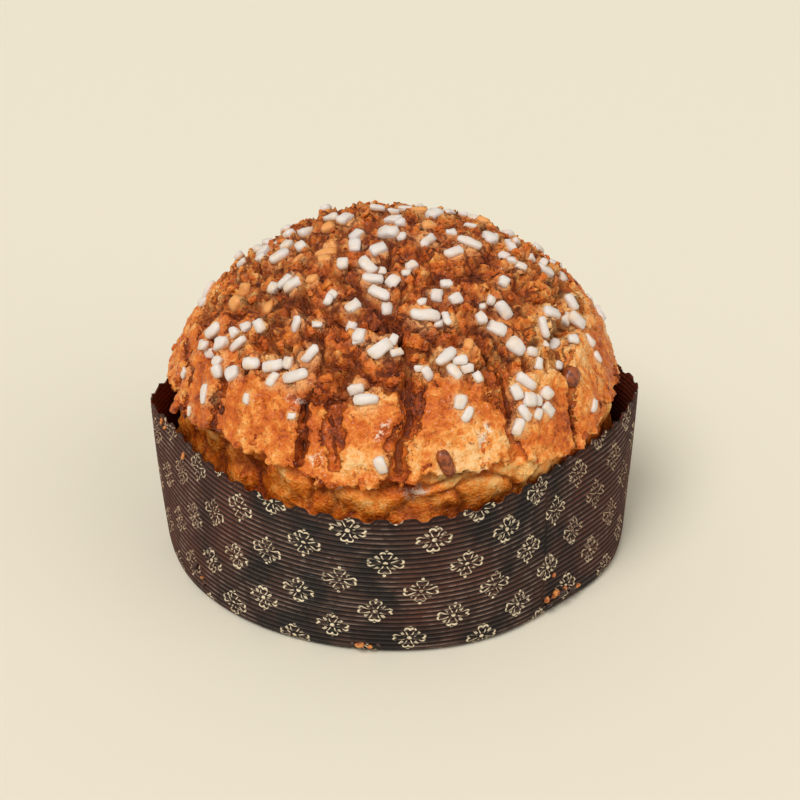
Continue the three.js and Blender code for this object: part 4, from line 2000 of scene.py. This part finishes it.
@dataclass
class Sugaring:
    """The pearl sugar: the grains that the photograph shows, read one by one, and like ones behind.

    A shown grain is its place in the photograph, its lean, its length and its width, in pixels.
    """

    loaf: Loaf
    surface: BVHTree
    white: tuple[Spot, ...] = (
        (290, 236, 5, 12, 10), (306, 235, 35, 16, 12), (268, 244, 0, 11, 8), (278, 244, 0, 8, 6),
        (288, 247, 10, 12, 11), (302, 248, 30, 11, 10), (258, 250, 0, 9, 8), (266, 253, 0, 14, 13),
        (262, 259, 0, 11, 9), (280, 258, 32, 22, 11), (244, 264, 40, 13, 8), (278, 229, 40, 19, 7),
        (332, 219, 5, 16, 9), (345, 221, 35, 22, 11), (377, 209, 0, 15, 7), (393, 213, 0, 14, 8),
        (394, 222, 0, 19, 10), (389, 235, -5, 22, 14), (355, 248, 88, 17, 12), (357, 237, 45, 15, 10),
        (379, 252, 20, 18, 13), (343, 265, 90, 12, 11), (368, 267, -45, 22, 12), (383, 272, 80, 8, 7),
        (373, 280, -5, 22, 10), (394, 283, 40, 15, 13), (380, 294, -25, 23, 11), (387, 311, 90, 15, 11),
        (353, 308, 30, 17, 12), (352, 328, 60, 13, 11), (360, 337, 70, 15, 13), (380, 349, 35, 27, 14),
        (396, 353, 20, 13, 9), (393, 340, 60, 13, 9), (329, 300, 60, 12, 8), (334, 296, -30, 10, 9),
        (318, 325, 0, 11, 8), (298, 324, 75, 19, 9), (274, 290, 60, 12, 11), (286, 282, 45, 18, 9),
        (294, 286, 30, 20, 11), (261, 326, -65, 15, 10), (247, 328, 20, 12, 10), (236, 333, 30, 11, 10),
        (215, 331, 40, 19, 11), (205, 346, 0, 14, 10), (223, 344, 20, 16, 13), (213, 353, 0, 12, 11),
        (239, 344, 38, 24, 8), (219, 362, 60, 11, 10), (219, 371, -70, 13, 11), (186, 373, 65, 13, 7),
        (252, 364, 0, 18, 12), (274, 366, 8, 22, 12), (290, 364, 80, 13, 12), (311, 354, 48, 22, 10),
        (234, 374, 30, 15, 13), (297, 376, 15, 31, 11), (273, 380, 55, 16, 8), (206, 394, 85, 20, 8),
        (248, 398, 80, 10, 7), (359, 341, 20, 13, 9), (205, 303, 40, 14, 7), (357, 389, 20, 18, 11),
        (366, 400, 4, 25, 11), (381, 465, 105, 18, 11), (292, 416, 0, 8, 6), (191, 411, 85, 11, 5),
        (415, 205, 0, 8, 6), (405, 210, 0, 14, 8), (434, 217, 30, 16, 14), (401, 225, 0, 10, 10),
        (449, 213, 0, 13, 6), (463, 217, 0, 10, 8), (480, 221, -15, 13, 7), (402, 238, 80, 12, 9),
        (451, 234, 0, 11, 8), (427, 242, 40, 22, 9), (469, 244, -20, 25, 9), (453, 254, 20, 20, 10),
        (470, 228, -10, 14, 8), (489, 241, -60, 16, 13), (494, 238, 70, 10, 6), (510, 247, -60, 19, 9),
        (515, 242, 0, 10, 7), (504, 258, -10, 13, 9), (511, 262, 0, 10, 8), (520, 267, -25, 14, 8),
        (530, 259, -20, 10, 8), (543, 263, -30, 8, 7), (544, 272, -30, 20, 10), (560, 279, -50, 12, 9),
        (412, 267, 20, 13, 9), (406, 274, 0, 9, 8), (446, 285, 10, 12, 9), (503, 283, 60, 11, 10),
        (435, 297, 85, 15, 12), (422, 303, 0, 8, 7), (455, 300, 30, 14, 12), (490, 301, 80, 10, 9),
        (482, 307, 0, 8, 8), (502, 311, -55, 21, 12), (425, 316, -5, 30, 12), (447, 319, -70, 17, 8),
        (440, 325, 0, 10, 9), (481, 319, -60, 14, 10), (496, 330, -25, 20, 13), (550, 314, -15, 22, 11),
        (563, 320, 60, 14, 12), (543, 328, -75, 23, 9), (575, 321, -40, 22, 11), (553, 345, 55, 15, 9),
        (572, 340, 0, 11, 10), (545, 345, 90, 9, 6), (570, 303, -60, 18, 10), (515, 347, -45, 20, 15),
        (531, 352, -15, 12, 9), (538, 364, 80, 11, 8), (557, 366, 75, 10, 8), (446, 358, 40, 26, 11),
        (460, 361, 15, 15, 10), (467, 369, 10, 13, 10), (454, 373, -50, 19, 10), (426, 373, -60, 15, 9),
        (419, 369, 0, 8, 6), (478, 377, -60, 11, 9), (525, 382, -35, 23, 11), (516, 392, -70, 17, 11),
        (528, 400, 85, 14, 13), (537, 400, 85, 11, 8), (545, 394, 40, 13, 12), (524, 413, -50, 18, 10),
        (537, 414, 70, 12, 8), (547, 410, -40, 16, 10), (518, 427, 75, 18, 11), (459, 402, 80, 14, 12),
        (467, 414, 60, 17, 9), (593, 405, 80, 14, 7), (588, 341, -60, 14, 8), (596, 358, -65, 12, 7),
    )
    tan: tuple[Spot, ...] = (
        (239, 305, 60, 15, 14), (249, 292, -30, 18, 16), (313, 281, 0, 12, 10), (327, 254, 12, 23, 9),
        (325, 261, 0, 14, 10), (299, 260, 45, 13, 6), (329, 229, 20, 14, 9), (270, 308, 80, 16, 8),
        (424, 206, 0, 10, 6), (419, 212, 0, 16, 9), (429, 228, 0, 17, 11), (468, 346, 80, 14, 10),
        (286, 223, 30, 16, 8), (483, 222, -20, 12, 8), (590, 322, -60, 12, 8),
    )
    flatness: float = 0.82
    dome_steepness: float = 1.4
    by_crust: float = 0.45
    by_dome: float = 0.75
    hidden_clusters: int = 74
    hidden_reach: float = 0.83
    cluster_spread: float = 6.6
    seed: int = 11

    def settle(self, point: Array, normal: Array) -> Array:
        """Gives a grain the loaf's broad slope, so that it isn't tipped into a fissure.

        Args:
            point: The crust's point.
            normal: The crust's direction there.

        Returns:
            A direction between the crust's and the dome's.
        """
        rise = (point[2] - self.loaf.waist_height) * self.dome_steepness
        return unit(self.by_crust * normal + self.by_dome * unit(np.array([point[0], point[1], rise])))

    def hidden(self) -> list[Nugget]:
        """Strews clusters over the side that the photograph doesn't show.

        Returns:
            The lumps on the crust.
        """
        random = np.random.default_rng(self.seed)
        camera = np.array(self.loaf.camera.place)
        laid = []
        for i in range(self.hidden_clusters):
            share = self.hidden_reach * math.sqrt((i + 0.5) / self.hidden_clusters)
            for _ in range(int(random.integers(2, 6))):
                away = self.cluster_spread * random.normal(0, 1, 2)
                reach = max(share * self.loaf.waist_radius, 8.0)
                spot_share = np.array([share + away[0] / self.loaf.waist_radius])
                spot_bearing = np.array([i * GOLDEN_ANGLE + away[1] / reach])
                lean, length, width = random.uniform(0, 180), random.uniform(5, 9.5), random.uniform(3.6, 5)
                plain, outward = self.loaf.dome(spot_bearing, np.clip(spot_share, 0.02, 0.9))
                start = Vector(plain[0] + outward[0] * 20)
                point, normal, _, _ = self.surface.ray_cast(start, Vector(-outward[0]))
                if point is None:
                    continue
                view = unit(np.array(point) - camera)
                if view @ outward[0] < -0.06:
                    continue
                if any(np.linalg.norm(np.array(point) - other.point) < width for other in laid):
                    continue
                spot = np.array(point)
                facing = self.settle(spot, np.array(normal))
                side = unit(np.cross(facing, (0, 0, 1)))
                turn = math.radians(lean)
                along = side * math.cos(turn) + np.cross(facing, side) * math.sin(turn)
                laid.append(Nugget(spot, along, facing, (length, width, self.flatness * width)))
        return laid

    def build(self) -> list[tuple[bpy.types.Object, list[Nugget]]]:
        """Makes the white grains and the browned ones.

        Returns:
            The pieces, each with its grains.
        """
        behind = self.hidden()
        groups = {
            kind: lay_shown(self.loaf, self.surface, spots, self.flatness, self.settle)
            for kind, spots in ((Browning.WHITE, self.white), (Browning.TAN, self.tan))
        }
        for i, grain in enumerate(behind):
            kind = Browning.TAN if i % 11 == 5 else Browning.WHITE
            groups[kind].append(grain)
        finishes = {
            Browning.WHITE: SugarFinish(),
            Browning.TAN: SugarFinish("browned_sugar", srgb(232, 160, 88), srgb(208, 124, 52)),
        }
        made = []
        for kind, grains in groups.items():
            finish = finishes[kind]
            kit = Nuggets(finish.name, Slot.SUGAR, finish.material())
            made.append((kit.build(grains), grains))
        return made


@dataclass
class GlazeCrumbs:
    """Loose crumbs of glaze that lie all over the cap and along the plates' edges."""

    count: int = 480
    shortest: float = 1.8
    spread: float = 0.42
    longest: float = 6.0
    seed: int = 5

    def build(
        self, crust: bpy.types.Object, fields: CrustFields, syrup: Array
    ) -> bpy.types.Object:
        """Makes the crumbs.

        Args:
            crust: The loaf that they lie on.
            fields: Its fields.
            syrup: How near sugar each vertex is, where no crumb lies.

        Returns:
            The finished piece.
        """
        random = np.random.default_rng(self.seed)
        points, normals = vertices_of(crust)
        weight = fields.crumble**1.5 * smoothstep(syrup, 0.3, 0.05)
        chosen = random.choice(len(points), self.count, replace=False, p=weight / weight.sum())
        nuggets = []
        for i in chosen:
            length = min(self.longest, self.shortest * float(random.lognormal(0.25, self.spread)))
            normal = unit(normals[i] + random.normal(0, 0.3, 3))
            along = unit(np.cross(normal, random.normal(0, 1, 3)))
            width = length * random.uniform(0.5, 0.85)
            nuggets.append(Nugget(points[i], along, normal, (length, width, 0.5 * width)))
        toast_and_shade = fields.toast_and_shade[chosen] + random.normal(0.08, 0.08, self.count)
        kit = Nuggets("glaze_crumbs", Slot.CRUST, crust.data.materials[0], 0.45, 1.9, 1.9, 3, 0.58)
        return kit.build(nuggets, {"toast_and_shade": toast_and_shade})


@dataclass
class Morsels:
    """The dried fruit in the crust, and crumbs and burnt specks on the paper, read one by one."""

    loaf: Loaf
    crust: BVHTree
    wall: BVHTree
    fruit: tuple[Spot, ...] = (
        (445, 463, 114, 30, 14),
        (569, 377, 70, 22, 17),
    )
    crumbs: tuple[Spot, ...] = (
        (163, 421, 60, 7, 4), (166, 428, 30, 6, 4), (184, 456, 80, 8, 4), (360, 644, 0, 9, 5),
        (370, 646, 10, 6, 4), (555, 592, 35, 9, 6), (563, 588, 30, 7, 5), (546, 600, 40, 7, 5),
        (553, 597, 10, 5, 4), (576, 585, 30, 6, 4), (203, 577, 60, 5, 3), (553, 575, 60, 5, 3),
    )
    burnt: tuple[Spot, ...] = (
        (560, 593, 30, 12, 7), (571, 588, 30, 9, 6), (548, 604, 40, 8, 5), (353, 642, 0, 5, 4),
        (379, 645, 0, 6, 3), (197, 566, 60, 8, 5), (205, 584, 60, 7, 4),
    )
    flatness: float = 0.8

    def build(self) -> list[bpy.types.Object]:
        """Makes the fruit, the crumbs and the burnt specks.

        Returns:
            The pieces.
        """
        kinds = (
            ("dried_fruit", self.crust, self.fruit, srgb(158, 78, 32), srgb(106, 46, 16), 0.3, 1.8, 0.3),
            ("baked_crumbs", self.wall, self.crumbs, srgb(214, 136, 66), srgb(150, 74, 32), 0.6, 1.6, 0.12),
            ("burnt_specks", self.wall, self.burnt, srgb(70, 34, 20), srgb(28, 16, 12), 0.4, 1.6, 0.12),
        )
        pieces = []
        for name, tree, spots, light, dark, roughness, unevenness, sunk in kinds:
            material = MorselFinish(name, light, dark, roughness).material()
            kit = Nuggets(name, Slot.CRUST, material, 0.75, unevenness, 3.0, sunk=sunk)
            pieces.append(kit.build(lay_shown(self.loaf, tree, spots, self.flatness)))
        return pieces


@dataclass
class Studio:
    """A plain pale floor and soft light from the front left."""

    floor_size: float = 12.0
    floor: tuple = srgb(236, 228, 208)
    air: tuple = srgb(238, 234, 224)

    def lamp(self, name: str, place: tuple, spread: float, power: float) -> None:
        """Adds a soft light that comes evenly from one side.

        Args:
            name: The light's name.
            place: The side that it comes from.
            spread: How wide it looks from the table, in degrees.
            power: Its power in watts for each square metre.
        """
        data = bpy.data.lights.new(name, "SUN")
        data.angle = math.radians(spread)
        data.energy = power
        lamp = bpy.data.objects.new(name, data)
        lamp.location = place
        lamp.rotation_euler = (-Vector(place)).to_track_quat("-Z", "Y").to_euler()
        bpy.context.scene.collection.objects.link(lamp)

    def build(self) -> None:
        """Makes the floor, the lamps and the surrounding light."""
        half = self.floor_size / 2
        corners = np.array([(-half, -half, 0), (half, -half, 0), (half, half, 0), (-half, half, 0)])
        floor = mesh_piece("floor", corners / MM + np.array([0, 0, -0.2]), [(0, 1, 2, 3)])
        finish = Finish("pale_floor")
        grain = finish.wires.grain(finish.place, 6.0, 2.0)
        finish.set("Base Color", self.floor)
        finish.set("Roughness", finish.wires.times_plus(grain, 0.1, 0.75))
        floor.data.materials.append(finish.material)
        floor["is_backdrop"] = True
        self.lamp("key_light", (-0.5, -0.8, 1.2), 30, 2.05)
        self.lamp("fill_light", (0.95, -0.6, 0.7), 50, 0.55)
        world = bpy.data.worlds.new("studio_air")
        world.use_nodes = True
        shade = world.node_tree.nodes["Background"]
        shade.inputs["Color"].default_value = self.air
        shade.inputs["Strength"].default_value = 0.5
        bpy.context.scene.world = world
        bpy.context.scene.view_settings.view_transform = "Standard"


def surface_of(piece: bpy.types.Object) -> BVHTree:
    """Gives a piece's surface for casting, in millimetres.

    Args:
        piece: The mesh object.

    Returns:
        The surface.
    """
    points, _ = vertices_of(piece)
    faces = [tuple(face.vertices) for face in piece.data.polygons]
    return BVHTree.FromPolygons(points.tolist(), faces)


def seat_grains(piece: bpy.types.Object, grains: Sequence[Nugget], syrup: Array) -> None:
    """Raises the glaze round the grains, and keeps it from growing over them.

    Args:
        piece: The loaf.
        grains: The grains.
        syrup: How near a grain each vertex is.
    """
    points, normals = vertices_of(piece)
    points = points + normals * (syrup * CUSHION_HEIGHT)[:, None]
    for grain in grains:
        length, _, thickness = grain.sizes
        near = np.nonzero(np.all(np.abs(points - grain.point) < length, axis=1))[0]
        offset = points[near] - grain.point
        up = offset @ grain.normal
        aside = np.linalg.norm(offset - up[:, None] * grain.normal, axis=1)
        allowed = 0.18 * thickness + 1.2 * np.maximum(0, aside - 0.42 * length)
        points[near] -= grain.normal * np.maximum(0, up - allowed)[:, None]
    piece.data.vertices.foreach_set("co", (points * MM).astype(np.float32).ravel())
    piece.data.update()


def vertices_of(piece: bpy.types.Object) -> tuple[Array, Array]:
    """Gives a piece's vertices in millimetres.

    Args:
        piece: The mesh object.

    Returns:
        Their points and outward directions.
    """
    count = len(piece.data.vertices)
    points = np.empty(count * 3, np.float32)
    normals = np.empty(count * 3, np.float32)
    piece.data.vertices.foreach_get("co", points)
    piece.data.vertices.foreach_get("normal", normals)
    return points.reshape(-1, 3).astype(float) / MM, normals.reshape(-1, 3).astype(float)


def syrup_round(piece: bpy.types.Object, grains: Sequence[Nugget]) -> Array:
    """Gives how near each vertex of the crust is to sugar.

    Args:
        piece: The loaf.
        grains: The grains.

    Returns:
        1 at a grain, falling to 0 a few millimetres off.
    """
    points, _ = vertices_of(piece)
    halo = np.zeros(len(points))
    for grain in grains:
        reach = 0.5 * grain.sizes[0] + 1.0
        near = np.nonzero(np.all(np.abs(points - grain.point) < 3 * reach, axis=1))[0]
        apart = np.linalg.norm(points[near] - grain.point, axis=1)
        halo[near] = np.maximum(halo[near], np.exp(-((apart / reach) ** 4)))
    return halo


def dress(piece: bpy.types.Object, slot: Slot, *nodes: str) -> None:
    """Gives a finished piece to the frame.

    Args:
        piece: The piece.
        slot: Its material slot; not used.
        *nodes: The solids that it stands for.
    """
    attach(piece, "root")
    if nodes:
        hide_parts(*nodes)
    faces = sum(len(face.vertices) - 2 for face in piece.data.polygons)
    LOG.info("%s: %d triangles", piece.name, faces)


def main() -> None:
    """Builds the panettone piece by piece."""
    logging.basicConfig(level=logging.INFO, format="%(message)s")
    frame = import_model()
    cad_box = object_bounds()
    camera = PhotoCamera()
    camera.build()
    mould = PaperMould()
    wall = mould.build()
    dress(wall, Slot.PAPER, "paper_wall")
    base = frame["nodes"]["paper_base"]
    base.data.materials.clear()
    base.data.materials.append(wall.data.materials[0])

    loaf = Loaf(mould, camera)
    crust, fields = loaf.sculpt()
    surface = surface_of(crust)
    sugar = Sugaring(loaf, surface).build()
    grains = [grain for _, group in sugar for grain in group]
    syrup = syrup_round(crust, grains)
    seat_grains(crust, grains, syrup)
    # The painted crevice shade is kept off the glaze round the sugar.
    fields.painted_crevice_shade = fields.painted_crevice_shade * (1 - syrup)
    for name in ("toast_and_shade", "cap", "plate", "split", "skirt", "painted_crevice_shade", "starch"):
        add_mask(crust, name, getattr(fields, name))
    add_mask(crust, "syrup", syrup)
    crust.data.materials.append(CrustFinish().material())
    dress(crust, Slot.CRUST, "panettone")
    dress(GlazeCrumbs().build(crust, fields, syrup), Slot.CRUST)
    for piece, _ in sugar:
        dress(piece, Slot.SUGAR)
    for piece in Morsels(loaf, surface, surface_of(wall)).build():
        dress(piece, Slot.CRUST)

    Studio().build()
    boxes = {"cad": cad_box, "visual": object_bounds()}
    {name: [list(corner) for corner in box] for name, box in boxes.items()}


if __name__ == "__main__":
    main()
